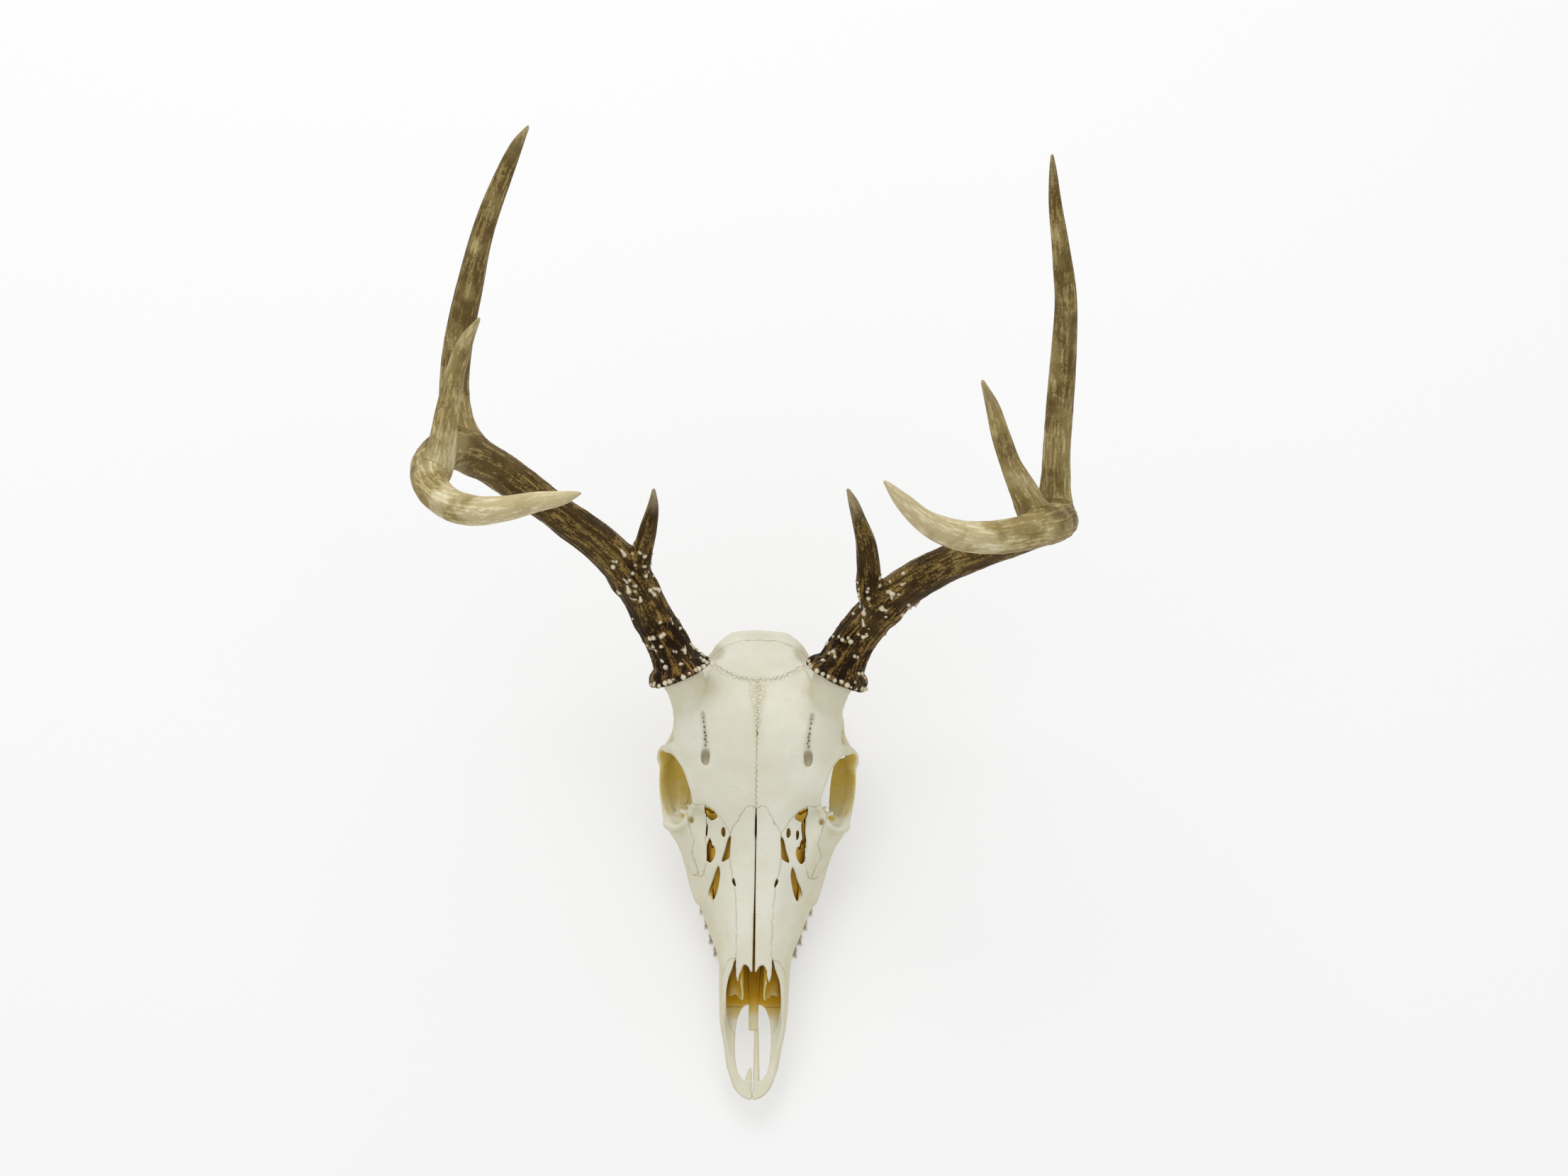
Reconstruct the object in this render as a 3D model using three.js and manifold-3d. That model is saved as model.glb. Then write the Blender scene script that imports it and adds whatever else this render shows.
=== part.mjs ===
// White-tailed deer skull, an eight-point buck, without its lower jaw.
// It lies on its cheek teeth and on the two processes behind the ears, nose towards -Y, brow up.
// Millimetres, +Z up. The skull is measured from its own nose tip: y runs back, x > 0 is the
// animal's left, z is the height over the surface it lies on. The last lines centre it.
import * as THREE from 'three';
import { mergeVertices } from 'three/addons/utils/BufferGeometryUtils.js';
import Module from 'manifold-3d';

const wasm = await Module();
wasm.setup();

// ---- Driving dimensions ----
const SUTURE_GAP = 0.3;        // space left between two bones, and where an antler is divided
const NASAL_SLIT = 0.5;        // half the open slit between the nasal bones
const FACE_WALL = 2.6;         // thickness of the bone round the nasal passage
const RING_SIDES = 20;         // facets round the skull
const PASSAGE_SIDES = 14;      // facets round the nasal passage
const TOOTH_ROW_FRONT = 87;
const TOOTH_LENGTHS = [7.5, 9, 9, 13, 16, 15];   // three premolars, three molars
const PREMOLARS = 3;
const PREMOLAR_BREADTH = 8.5;  // of the first; each next one is a millimetre broader
const MOLAR_BREADTH = 13.5;
const CROWN_HEIGHT = 17;
const TOOTH_OVERHANG = 1.2;    // how far the teeth stand out past the jaw's edge
const TOOTH_OVERLAP = 0.56;    // half-length of a crown as a share of its place, so that crowns join
const CHEEK_HALF = 60;         // from the middle to the outside of a cheek arch
const BEAM_RADIUS = 12.5;      // of an antler at its foot
const BURR_RADIUS = 17.5;      // of the crown of bone round that foot
const BURR_HEIGHT = 8;
const PEDICLE_DEPTH = 20;      // length of the stump under an antler, inside the brow
const PEDICLE_SINK = 5;        // how far its lower end is pressed down into the brow
const ROOF = 130;              // above every bone of the skull

// Rounded forms of the left side: [x, y, z, radius across, radius along, radius upright].
const ORBIT = [46, 178.5, 64, 21.5, 18.5, 16];
const BROW_HOLE = [30.4, 186, 90, 2.5, 4.4, 9];
const NERVE_HOLE = [34, 109, 25, 5, 5, 3];
const THROAT = [0, 166, 21, 8, 16, 8];
const SPINAL_HOLE = [0, 264, 38, 9.5, 22, 9.5];
const NECK_KNOB = [11.5, 256, 23, 7.5, 9, 10];
const EAR_BUBBLE = [17, 222, 21, 7, 11, 8.5];
const JAW_JOINT = [33, 229, 40, 6, 6, 5];

const BONE = { color: 0xe3e0cf, roughness: 0.6, metalness: 0 };
const ANTLER = { color: 0x6f5a3c, roughness: 0.65, metalness: 0 };

// ---- The lines of the skull ----
// Each line runs from the nose back to the nape on the left side: [y, half-width, height].
const CREST = [[3, 0, 19], [13, 0, 22], [31, 0, 29], [49, 0, 37], [60, 0, 44], [95, 0, 53], [115, 0, 58.5],
  [134, 0, 65], [149, 0, 71.5], [161, 0, 78], [177, 0, 86], [192, 0, 92.5], [205, 0, 96], [216, 0, 97],
  [230, 0, 93.5], [244, 0, 86.5], [257, 0, 78.5], [269, 0, 70]];
const NASAL_EDGE = [[3, 3, 19], [13, 7, 22], [31, 11, 28.5], [49, 11, 36], [60, 9.5, 42.5],
  [95, 10.4, 51.6], [116, 11.8, 57], [136, 16, 63.3], [149, 20, 68.6], [161, 24, 75.5], [177, 27, 84],
  [192, 29, 91], [206, 30, 94.6], [218, 29, 94.8], [232, 23, 91], [246, 19, 84], [257, 17, 77],
  [269, 14.5, 69.5]];
const BROW = [[3, 5, 18.5], [13, 10.5, 21], [31, 14, 25.5], [49, 16.3, 31], [62, 15.5, 37.5],
  [78, 17.5, 39], [99, 20, 43], [119, 24, 48], [137, 30, 55], [152, 34.8, 60.5], [162, 36.8, 67],
  [172, 38, 75], [184, 41.6, 81], [198, 46.8, 84], [208, 45.5, 87], [220, 43, 89], [233, 36, 85],
  [245, 32.5, 78], [257, 29.5, 71], [263, 28.5, 69], [269, 20.5, 67]];
const UNDER_BROW = [[3, 6.5, 17], [13, 12.8, 19], [31, 16.2, 22], [49, 18.8, 25], [62, 18.6, 29.5],
  [79, 20.3, 31], [101, 25.3, 34], [121, 32.5, 38], [140, 38.5, 44], [153, 43, 50], [163, 43, 56],
  [173, 34, 67], [187, 34, 74.5], [199, 37.5, 76.5], [209, 38.5, 77.5], [221, 38.5, 78], [234, 39, 72],
  [247, 36.5, 66], [258, 31, 60], [269, 19.5, 64.5]];
const CHEEK = [[3, 7, 15.5], [13, 13.5, 16.5], [31, 16.9, 18], [49, 19.8, 19.3], [62, 20.4, 20],
  [80, 21, 21], [99, 27.4, 23], [111, 32, 24.5], [123, 37.8, 26.5], [140, 42.6, 32], [152, 46, 38],
  [163, 49, 43], [175, 23, 51], [189, 21.5, 54], [201, 22.5, 56], [211, 27, 58], [223, 35, 60],
  [236, 39, 57], [248, 37.5, 53], [259, 32, 47], [269, 17.5, 61]];
const TOOTH_LINE = [[3, 6, 13.8], [13, 12.5, 14], [31, 15.5, 14.8], [62, 18.5, 14], [84, 20.8, 13],
  [99, 25.5, 12.5], [120, 31.5, 12.5], [142, 33.5, 13.5], [157, 35, 18], [166, 33, 28], [178, 19.5, 34],
  [192, 18, 37], [204, 20, 41], [214, 26, 43], [226, 33, 42], [238, 37, 38], [250, 34.5, 34], [260, 28, 30],
  [269, 9, 58]];
const PALATE = [[3, 3, 13.5], [13, 6, 14], [31, 8, 14.6], [62, 9.5, 15.5], [84, 11, 15.5],
  [124, 16.5, 15.5], [144, 17.5, 15.5], [157, 16, 16.5], [168, 13, 24], [178, 11, 26], [192, 10, 27],
  [204, 11, 25], [214, 13, 22], [226, 15, 20], [250, 17, 18.5], [260, 14, 22], [269, 5, 57]];
const KEEL = [[3, 0, 13.5], [13, 0, 14], [31, 0, 14.6], [62, 0, 15.8], [84, 0, 16.5], [144, 0, 16.5],
  [157, 0, 17.5], [168, 0, 25], [178, 0, 26.5], [192, 0, 27], [204, 0, 25], [214, 0, 22], [226, 0, 20],
  [250, 0, 18.5], [260, 0, 22], [269, 0, 57]];
const SIDE_LINES = [NASAL_EDGE, BROW, UNDER_BROW, CHEEK, TOOTH_LINE, PALATE];
const STATIONS = [3, 8, 14, 24, 36, 49, 60, 74, 88, 102, 116, 130, 142, 152, 160, 167, 175, 186, 198, 208,
  218, 229, 240, 250, 259, 265, 269];
const PASSAGE_STATIONS = [12, 36, 60, 74, 88, 102, 116, 130, 142, 152, 160, 168];

// ---- Outlines of the bones of the left side, seen from above unless they say otherwise ----
const NASAL_OUTLINE = [[NASAL_SLIT, 72.5], [1.8, 71], [5.4, 74.7], [9.2, 65.7], [10.3, 75], [10.4, 97],
  [12, 118.6], [15.3, 136.4], [14.4, 147.4], [9.6, 154.6], [4.1, 161.7], [NASAL_SLIT, 159.8]];
const FRONTAL_OUTLINE = [[SUTURE_GAP / 2, 150], [14.8, 147.8], [19.8, 156], [24.5, 161.3], [30.5, 164.5],
  [40, 170.5], [60, 176], [60, 243], [26, 245.2], [14.5, 236.3], [SUTURE_GAP / 2, 233.3]];
const FRONTAL_FLOOR = 58;
const CHEEKBONE_OUTLINE = [[29.6, 163.7], [29.2, 148], [28.8, 133], [34, 127], [75, 127], [75, 220],
  [52, 211], [42, 198], [42, 171.4], [40, 170.2]];
// from the side, [y, z]
const CHEEKBONE_SIDE = [[122, 80], [124, 56], [138, 40], [152, 31], [170, 24], [225, 24], [214, 56],
  [175, 60], [172, 80]];
const BAR_SIDE = [[186, 50], [214, 50], [210, 77], [186, 75]];   // bar behind the orbit, from the side
const PREMAXILLA_SIDE = [[-5, -5], [50, -5], [57, 17], [79.3, 46], [79.3, 60], [-5, 60]];   // from the side
const MAXILLA_BACK = 163;
const ARCH_LINE = [[40, 146, 35, 4], [49, 156, 41, 4], [CHEEK_HALF - 5.6, 166, 45, 3.4],
  [CHEEK_HALF - 3, 180, 46, 3], [CHEEK_HALF - 3, 194, 47, 3.2], [CHEEK_HALF - 6, 203, 48, 3.2],
  [CHEEK_HALF - 10.5, 214, 49, 2.8], [CHEEK_HALF - 13, 226, 48, 3], [41, 234, 45, 5], [34, 238, 44, 6]];
const BAR_LINE = [[CHEEK_HALF - 4, 197, 48, 3.6], [CHEEK_HALF - 4.5, 199, 58, 2.8],
  [CHEEK_HALF - 7, 198.5, 70, 2.8], [CHEEK_HALF - 11.5, 197.5, 80, 3.4], [41, 199, 85, 5]];
const FRONT_RIM = [[51, 160, 44, 5.5], [44, 159.5, 52, 5], [38.5, 161, 62, 3], [36, 167, 70, 3]];
const EAR_PROCESS = [[24, 239, 36, 6], [24.5, 243, 20, 4.2], [24.5, 246, 8, 3], [24.5, 247, 0, 2.4]];
const WING_LINE = [[160, 10, 30, 11], [176, 10.5, 31, 13.9], [192, 10, 32, 16.8]];   // [y, x, top, foot]
const WING_HALF = 1.3;
const LEFT_ROD = [[2.6, 9, 15.5, 1.9], [2.2, 28, 16, 1.6], [2, 43, 16.5, 1.3]];
const RIGHT_ROD = [[-2.8, 9, 15.5, 1.9], [-2, 18, 16, 1.2]];
// [y, breadth] of the orbit floor
const SHELF_REACH = [[160, 9], [168, 13], [180, 14], [192, 13], [200, 8]];
const SHELF_HALF = 1.4;
// orbit floor
const SHELF_EDGE = [[160, 52, 44], [168, 55, 46], [180, 57, 47], [192, 57, 48], [200, 55, 49]];
const PALATE_SLIT = [[-9.2, 15], [-9.7, 31], [-9.4, 44], [-6, 54], [0, 56], [6, 54], [9.4, 44], [9.7, 31],
  [9.2, 15], [3, 14], [-3, 14]];
const NOSE_TROUGH = [[8.5, 12], [12.4, 33], [14.8, 48], [15.2, 60], [13.2, 71], [10.6, 77], [10.6, 80]];
const PALATE_FLOOR = 19.5;     // height of the floor of the nose
const NOSTRIL_TOP = [[-10.6, 8], [10.6, 8], [10.6, 80], [-10.6, 80]];
const LACRIMAL_GAPS = [                                  // openings between nasal and tear bone
  [[29.4, 164], [22.6, 161.5], [21.1, 158.5], [26.3, 157.8], [27.5, 154.5]],
  [[21.5, 150], [20, 153], [18.2, 151], [19.6, 147]],
  [[27.7, 146.5], [25.5, 148], [23, 144], [22.5, 138.5], [23.4, 134], [26, 133], [27.3, 137]],
  [[15.8, 148.6], [14.3, 147], [14.6, 141.5], [16, 137], [18.3, 134], [17.3, 141]],
  [[22.6, 127.5], [20.9, 127], [22.2, 119.5], [23.4, 114], [25.6, 110.8], [26.8, 112.5], [24.7, 120]],
];

// ---- Antlers: each point of a branch is [x, y, z, radius] ----
const ANTLERS = {
  left: {
    beam: [[45, 233, 107, 12.6], [61, 258, 124, 11.8], [88, 277, 148, 10.8], [128, 286, 183, 9.8],
      [157, 285.5, 230, 9.9], [159, 277, 255, 10.1], [136, 255, 297, 9], [99, 244, 326, 7.4],
      [73, 252, 350, 4.3], [64, 259, 358, 1]],
    brow_tine: [[76, 262, 131, 8], [63, 274, 142, 7.2], [61, 293, 168, 5.6], [52, 308, 194, 2.7],
    [49, 312, 202, 0.9]],
    second_tine: [[155, 280, 232, 9], [158, 292, 246, 8.4], [157, 329, 289, 7.2], [156, 369, 335, 5.8],
      [148, 403, 369, 3.4], [145, 422, 386, 0.9]],
    third_tine: [[151, 263, 270, 9], [138, 280, 289, 7.2], [124, 300, 317, 4.8], [113, 319, 342, 1]],
  },
  right: {
    beam: [[-44.5, 233, 107, 12.4], [-61, 261, 125, 11.6], [-86, 291, 153, 10.8], [-127, 311, 193, 10.2],
      [-162, 316, 245, 10.6], [-170, 299, 272, 10], [-155, 262, 310, 8.2], [-123, 250, 336, 6.3],
      [-92, 250, 353, 3.3], [-84, 251, 357, 1]],
    brow_tine: [[-79, 274, 139, 8], [-70, 284, 147, 6.8], [-62, 299, 171, 4.8], [-59, 306, 186, 3.2],
      [-58, 311, 200, 1]],
    second_tine: [[-152, 312, 224, 10], [-162, 330, 236, 9.2], [-162, 358, 262, 7.8], [-152, 389, 297, 6.9],
      [-133, 427, 340, 4.7], [-118, 446, 363, 0.9]],
    third_tine: [[-168, 286, 282, 9], [-161, 301, 298, 7], [-152, 328, 327, 4.9], [-139, 346, 349, 1]],
  },
};
const TINE_NAMES = ['brow_tine', 'second_tine', 'third_tine'];
const BEAM_PARTS = ['base', 'lower_beam', 'upper_beam', 'tip'];   // divided above each fork
const FORK_PLACES = { left: [0.225, 0.59, 0.755], right: [0.235, 0.56, 0.72] };   // along the beam

// ---- Small tools ----
const point = (x, y, z) => new THREE.Vector3(x, y, z);

// Half-width and height of a line at distance y, on a curve that never overshoots its points.
function lineAt(line, y) {
  const last = line.length - 1;
  const place = Math.min(Math.max(y, line[0][0]), line[last][0]);
  let i = 0;
  while (i < last - 1 && place > line[i + 1][0]) i += 1;
  const span = line[i + 1][0] - line[i][0];
  const t = (place - line[i][0]) / span;
  const slopeBetween = (j, k) => (line[j + 1][k] - line[j][k]) / (line[j + 1][0] - line[j][0]);
  const slopeAt = (j, k) => {
    if (j === 0) return slopeBetween(0, k);
    if (j === last) return slopeBetween(last - 1, k);
    const before = slopeBetween(j - 1, k);
    const after = slopeBetween(j, k);
    return before * after <= 0 ? 0 : 2 * before * after / (before + after);
  };
  return [1, 2].map((k) => {
    const a = 2 * t ** 3 - 3 * t ** 2 + 1;
    const b = t ** 3 - 2 * t ** 2 + t;
    const c = 3 * t ** 2 - 2 * t ** 3;
    const d = t ** 3 - t ** 2;
    return a * line[i][k] + b * span * slopeAt(i, k) + c * line[i + 1][k] + d * span * slopeAt(i + 1, k);
  });
}

// The skull's cross-section at y: a closed smooth ring through its lines, both sides alike.
function sectionAt(y, sides) {
  const left = SIDE_LINES.map((line) => lineAt(line, y));
  const crest = lineAt(CREST, y)[1];
  const keel = lineAt(KEEL, y)[1];
  const ring = [point(0, y, crest)];
  left.forEach(([x, z]) => ring.push(point(x, y, z)));
  ring.push(point(0, y, keel));
  left.reverse().forEach(([x, z]) => ring.push(point(-x, y, z)));
  const curve = new THREE.CatmullRomCurve3(ring, true, 'centripetal');
  return curve.getPoints(sides).slice(0, sides);
}

// A closed body through rings that all have the same number of points.
function loft(rings) {
  const sides = rings[0].length;
  const places = rings.flat();
  const faces = [];
  for (let r = 0; r + 1 < rings.length; r += 1) {
    for (let i = 0; i < sides; i += 1) {
      const a = r * sides + i;
      const b = r * sides + (i + 1) % sides;
      faces.push(a, b, a + sides, b, b + sides, a + sides);
    }
  }
  const endFan = (ring, first, flip) => {
    const middle = ring.reduce((sum, p) => sum.add(p), point(0, 0, 0)).divideScalar(sides);
    const centre = places.push(middle) - 1;
    for (let i = 0; i < sides; i += 1) {
      const a = first + i;
      const b = first + (i + 1) % sides;
      faces.push(centre, flip ? a : b, flip ? b : a);
    }
  };
  endFan(rings[0], 0, false);
  endFan(rings[rings.length - 1], (rings.length - 1) * sides, true);
  let volume = 0;
  for (let i = 0; i < faces.length; i += 3) {
    const [a, b, c] = [places[faces[i]], places[faces[i + 1]], places[faces[i + 2]]];
    volume += a.dot(b.clone().cross(c));
  }
  if (volume < 0) faces.reverse();
  const geometry = new THREE.BufferGeometry();
  geometry.setAttribute('position', new THREE.Float32BufferAttribute(places.flatMap((p) => p.toArray()), 3));
  geometry.setIndex(faces);
  return geometry;
}

// A branch of round or oval section along points [x, y, z, radius]; flat > 1 makes it deeper than wide.
function branch(points, options = {}) {
  const { sides = 8, step = 11, fatten = 0, from = 0, to = 1, flat = 1, swell = () => 0 } = options;
  const curve = new THREE.CatmullRomCurve3(points.map((p) => point(p[0], p[1], p[2])), false, 'centripetal');
  const length = curve.getLength();
  const count = Math.max(2, Math.ceil((to - from) * length / step));
  const rings = [];
  let crosswise = null;
  for (let i = 0; i <= count; i += 1) {
    const place = from + (to - from) * i / count;
    const t = curve.getUtoTmapping(place);
    const along = curve.getTangent(t).normalize();
    if (crosswise === null) crosswise = Math.abs(along.x) > 0.9 ? point(0, 1, 0) : point(1, 0, 0);
    crosswise = crosswise.clone().addScaledVector(along, -crosswise.dot(along)).normalize();
    const deep = along.clone().cross(crosswise);
    const spot = t * (points.length - 1);
    const k = Math.min(Math.floor(spot), points.length - 2);
    const bare = THREE.MathUtils.lerp(points[k][3], points[k + 1][3], spot - k);
    const radius = bare + fatten + swell(place * length);
    rings.push(Array.from({ length: sides }, (_, j) => {
      const angle = 2 * Math.PI * j / sides;
      return curve.getPoint(t).addScaledVector(crosswise, radius * Math.cos(angle))
        .addScaledVector(deep, radius * flat * Math.sin(angle));
    }));
  }
  return loft(rings);
}

// A rounded form on one side, or on the middle when its x is 0.
function egg([x, y, z, rx, ry, rz], side = 1, sides = 8) {
  const geometry = new THREE.SphereGeometry(1, sides, Math.round(sides * 0.6));
  return solid(geometry.scale(rx, ry, rz).translate(side * x, y, z));
}

// Every corner of an outline moved outwards by a distance.
function grow(outline, distance) {
  const turn = THREE.ShapeUtils.area(outline.map(([x, y]) => new THREE.Vector2(x, y))) > 0 ? 1 : -1;
  return outline.map(([x, y], i) => {
    const before = outline[(i + outline.length - 1) % outline.length];
    const after = outline[(i + 1) % outline.length];
    const inEdge = new THREE.Vector2(x - before[0], y - before[1]).normalize();
    const outEdge = new THREE.Vector2(after[0] - x, after[1] - y).normalize();
    const outward = new THREE.Vector2(inEdge.y + outEdge.y, -inEdge.x - outEdge.x).normalize();
    const reach = turn * distance / Math.max(0.4, outward.dot(new THREE.Vector2(inEdge.y, -inEdge.x)));
    return [x + outward.x * reach, y + outward.y * reach];
  });
}

const mirrored = (outline) => outline.map(([x, y]) => [-x, y]);
const shapeOf = (outline) => new THREE.Shape(outline.map(([x, y]) => new THREE.Vector2(x, y)));

// A prism that stands on an outline drawn from above.
function standing(outline, low, high) {
  const geometry = new THREE.ExtrudeGeometry(shapeOf(outline), { depth: high - low, bevelEnabled: false });
  return geometry.translate(0, 0, low);
}

// A prism that lies across the skull, on an outline drawn from the side.
function lying(outline, left, right) {
  const geometry = new THREE.ExtrudeGeometry(shapeOf(outline), { depth: right - left, bevelEnabled: false });
  const turn = new THREE.Matrix4().makeBasis(point(0, 1, 0), point(0, 0, 1), point(1, 0, 0));
  return geometry.applyMatrix4(turn).translate(left, 0, 0);
}

function solid(geometry) {
  const plain = geometry.clone();
  plain.deleteAttribute('normal');
  plain.deleteAttribute('uv');
  const merged = mergeVertices(plain, 1e-4);
  const vertProperties = new Float32Array(merged.attributes.position.array);
  const triVerts = new Uint32Array(merged.index.array);
  return new wasm.Manifold(new wasm.Mesh({ numProp: 3, vertProperties, triVerts }));
}

const both = (makePiece) => makePiece(1).add(makePiece(-1));
const turned = (points, side) => points.map(([x, y, z, radius]) => [side * x, y, z, radius]);

// ---- The skull as one body ----
function shell() {
  const outside = solid(loft(STATIONS.map((y) => sectionAt(y, RING_SIDES))));
  const inside = PASSAGE_STATIONS.map((y) => {
    const ring = sectionAt(y, PASSAGE_SIDES);
    const flatRing = grow(ring.map((p) => [p.x, p.z]), -FACE_WALL);
    return flatRing.map(([x, z]) => point(x, y, z));
  });
  return outside.subtract(solid(loft(inside)));
}

// Cheek arch, the bar behind the orbit, the orbit's floor and its front rim, of one side.
function arch(side) {
  const shelf = SHELF_REACH.map(([y, reach]) => {
    const [x, z] = lineAt(SHELF_EDGE, y);
    const corners = [[x, z + SHELF_HALF], [x, z - SHELF_HALF], [x - reach, z - reach - SHELF_HALF],
      [x - reach, z - reach + SHELF_HALF]];
    return corners.map(([u, v]) => point(side * u, y, v));
  });
  return solid(branch(turned(ARCH_LINE, side), { sides: 7, step: 16, flat: 1.7 }))
    .add(solid(branch(turned(BAR_LINE, side), { sides: 6, step: 14, flat: 1.5 })))
    .add(solid(loft(shelf)))
    .add(solid(branch(turned(FRONT_RIM, side), { sides: 6, step: 12 })));
}

// Stump of bone that carries an antler; it stops just short of the antler's foot.
function pedicle(name) {
  const [foot, next] = ANTLERS[name].beam.map(([x, y, z]) => point(x, y, z));
  const along = next.sub(foot).normalize();
  const inner = foot.clone().addScaledVector(along, -PEDICLE_DEPTH);
  const middle = foot.clone().addScaledVector(along, -PEDICLE_DEPTH * 0.45);
  const outer = foot.clone().addScaledVector(along, -SUTURE_GAP);
  inner.z -= PEDICLE_SINK;
  const points = [[...inner.toArray(), BEAM_RADIUS + 3], [...middle.toArray(), BEAM_RADIUS + 0.9],
    [...outer.toArray(), BEAM_RADIUS - 0.1]];
  return solid(branch(points, { sides: 9, step: 12 }));
}

// Processes, knobs and throat wings of the skull's base, of one side, cut level where they stand.
function base(side) {
  const wing = WING_LINE.map(([y, x, top, foot]) => {
    const [inner, outer] = [x - WING_HALF, x + WING_HALF];
    const corners = [[inner, top], [outer, top], [outer, foot], [inner, foot]];
    return corners.map(([u, v]) => point(side * u, y, v));
  });
  const underFloor = solid(standing([[-60, 200], [60, 200], [60, 290], [-60, 290]], -20, 0));
  return solid(branch(turned(EAR_PROCESS, side), { sides: 7, step: 14 }))
    .add(egg(NECK_KNOB, side))
    .add(egg(EAR_BUBBLE, side))
    .add(egg(JAW_JOINT, side))
    .add(solid(loft(wing)))
    .subtract(underFloor);
}

// One row of cheek teeth, crowns down: each tooth is a rounded column with a flat worn face.
function toothRow(side) {
  let front = TOOTH_ROW_FRONT;
  const crowns = TOOTH_LENGTHS.map((length, i) => {
    const middle = front + length / 2;
    front += length;
    const outer = lineAt(TOOTH_LINE, middle)[0] + TOOTH_OVERHANG;
    const breadth = i < PREMOLARS ? PREMOLAR_BREADTH + i : MOLAR_BREADTH;
    const shape = new THREE.Shape();
    const halfLength = length * TOOTH_OVERLAP;
    shape.absellipse(side * (outer - breadth / 2), middle, breadth / 2, halfLength, 0, 2 * Math.PI);
    const crown = { depth: CROWN_HEIGHT, bevelEnabled: false, curveSegments: 4 };
    return solid(new THREE.ExtrudeGeometry(shape, crown));
  });
  return crowns.reduce((row, crown) => row.add(crown));
}

// Openings: orbits, palate slits, nostrils, the gaps before the eyes, choana, nerve holes, spinal hole.
function openings() {
  const ofSide = (side) => LACRIMAL_GAPS
    .map((outline) => solid(standing(side > 0 ? outline : mirrored(outline), 42, 90)))
    .reduce((cut, gap) => cut.add(gap), egg(ORBIT, side, 14))
    .add(egg(BROW_HOLE, side, 6))
    .add(egg(NERVE_HOLE, side, 6));
  return both(ofSide)
    .add(solid(standing(PALATE_SLIT, -5, 60)))
    .add(egg(THROAT))
    .add(egg(SPINAL_HOLE, 1, 10));
}

// ---- Parting the body into its bones ----
let rest = shell().add(both(arch)).subtract(openings()).add(both(base))
  .add(pedicle('left')).add(pedicle('right'));

// The largest single body of a cut, so that no loose chip is left at a suture.
function largest(body) {
  return body.decompose().sort((a, b) => b.volume() - a.volume())[0];
}

// Takes one bone out of what is left. makeRegion(gap) is the bone's own space, widened by a gap.
function take(makeRegion) {
  const bone = largest(rest.intersect(makeRegion(0)));
  rest = rest.subtract(makeRegion(SUTURE_GAP));
  return bone;
}

const turnTo = (side, outline) => (side > 0 ? outline : mirrored(outline));
const spanOn = (side, low, high) => (side > 0 ? [low, high] : [-high, -low]);

function nasalRegion(side, gap) {
  return solid(standing(turnTo(side, grow(NASAL_OUTLINE, gap)), 36, ROOF));
}

function cheekboneRegion(side, gap) {
  const [near, far] = spanOn(side, 20, 90);
  const [barNear, barFar] = spanOn(side, 40 - gap, 90);
  return solid(standing(turnTo(side, grow(CHEEKBONE_OUTLINE, gap)), 0, ROOF))
    .intersect(solid(lying(grow(CHEEKBONE_SIDE, gap), near, far)))
    .add(solid(lying(grow(BAR_SIDE, gap), barNear, barFar)));
}

function frontalRegion(side, gap) {
  return solid(standing(turnTo(side, grow(FRONTAL_OUTLINE, gap)), FRONTAL_FLOOR - gap, ROOF));
}

function premaxillaRegion(side, gap) {
  const [near, far] = spanOn(side, SUTURE_GAP / 2 - gap, 40);
  return solid(lying(grow(PREMAXILLA_SIDE, gap), near, far));
}

function maxillaRegion(side, gap) {
  const [near, far] = spanOn(side, SUTURE_GAP / 2 - gap, 70);
  const outline = [[30, -20], [MAXILLA_BACK, -20], [MAXILLA_BACK, 100], [30, 100]];
  return solid(lying(grow(outline, gap), near, far));
}

// Slender rods of the premaxillae along the middle of the palate; the right one is broken short.
function palateRod(side) {
  return solid(branch(side > 0 ? LEFT_ROD : RIGHT_ROD, { sides: 6, step: 12 }));
}

function vomerPlate() {
  const outline = [[41, 18.6], [52, 19.6], [100, 19.8], [148, 19.8], [148, 33], [100, 29], [66, 24],
  [44, 20.6]];
  return solid(lying(outline, -1.8, 1.8));
}

const sides = { left: 1, right: -1 };
const bones = {};
Object.entries(sides).forEach(([name, side]) => {
  bones[`nasal_${name}`] = take((gap) => nasalRegion(side, gap));
});
const noseTrough = standing([...NOSE_TROUGH, ...mirrored(NOSE_TROUGH).reverse()], PALATE_FLOOR, 60);
rest = rest.subtract(solid(noseTrough)).subtract(solid(standing(NOSTRIL_TOP, 33, 60)));
Object.entries(sides).forEach(([name, side]) => {
  bones[`cheekbone_${name}`] = take((gap) => cheekboneRegion(side, gap));
});
Object.entries(sides).forEach(([name, side]) => {
  bones[`frontal_${name}`] = take((gap) => frontalRegion(side, gap));
});
Object.entries(sides).forEach(([name, side]) => {
  bones[`premaxilla_${name}`] = take((gap) => premaxillaRegion(side, gap)).add(palateRod(side));
});
Object.entries(sides).forEach(([name, side]) => {
  bones[`maxilla_${name}`] = largest(take((gap) => maxillaRegion(side, gap)).add(toothRow(side)));
});
bones.braincase = largest(rest);
bones.vomer = vomerPlate();

// ---- The antlers, each divided above its forks ----
function burrSwell(distance) {
  if (distance >= BURR_HEIGHT) return 0;
  return (BURR_RADIUS - BEAM_RADIUS) * Math.sqrt(1 - (distance / BURR_HEIGHT) ** 2);
}

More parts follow.
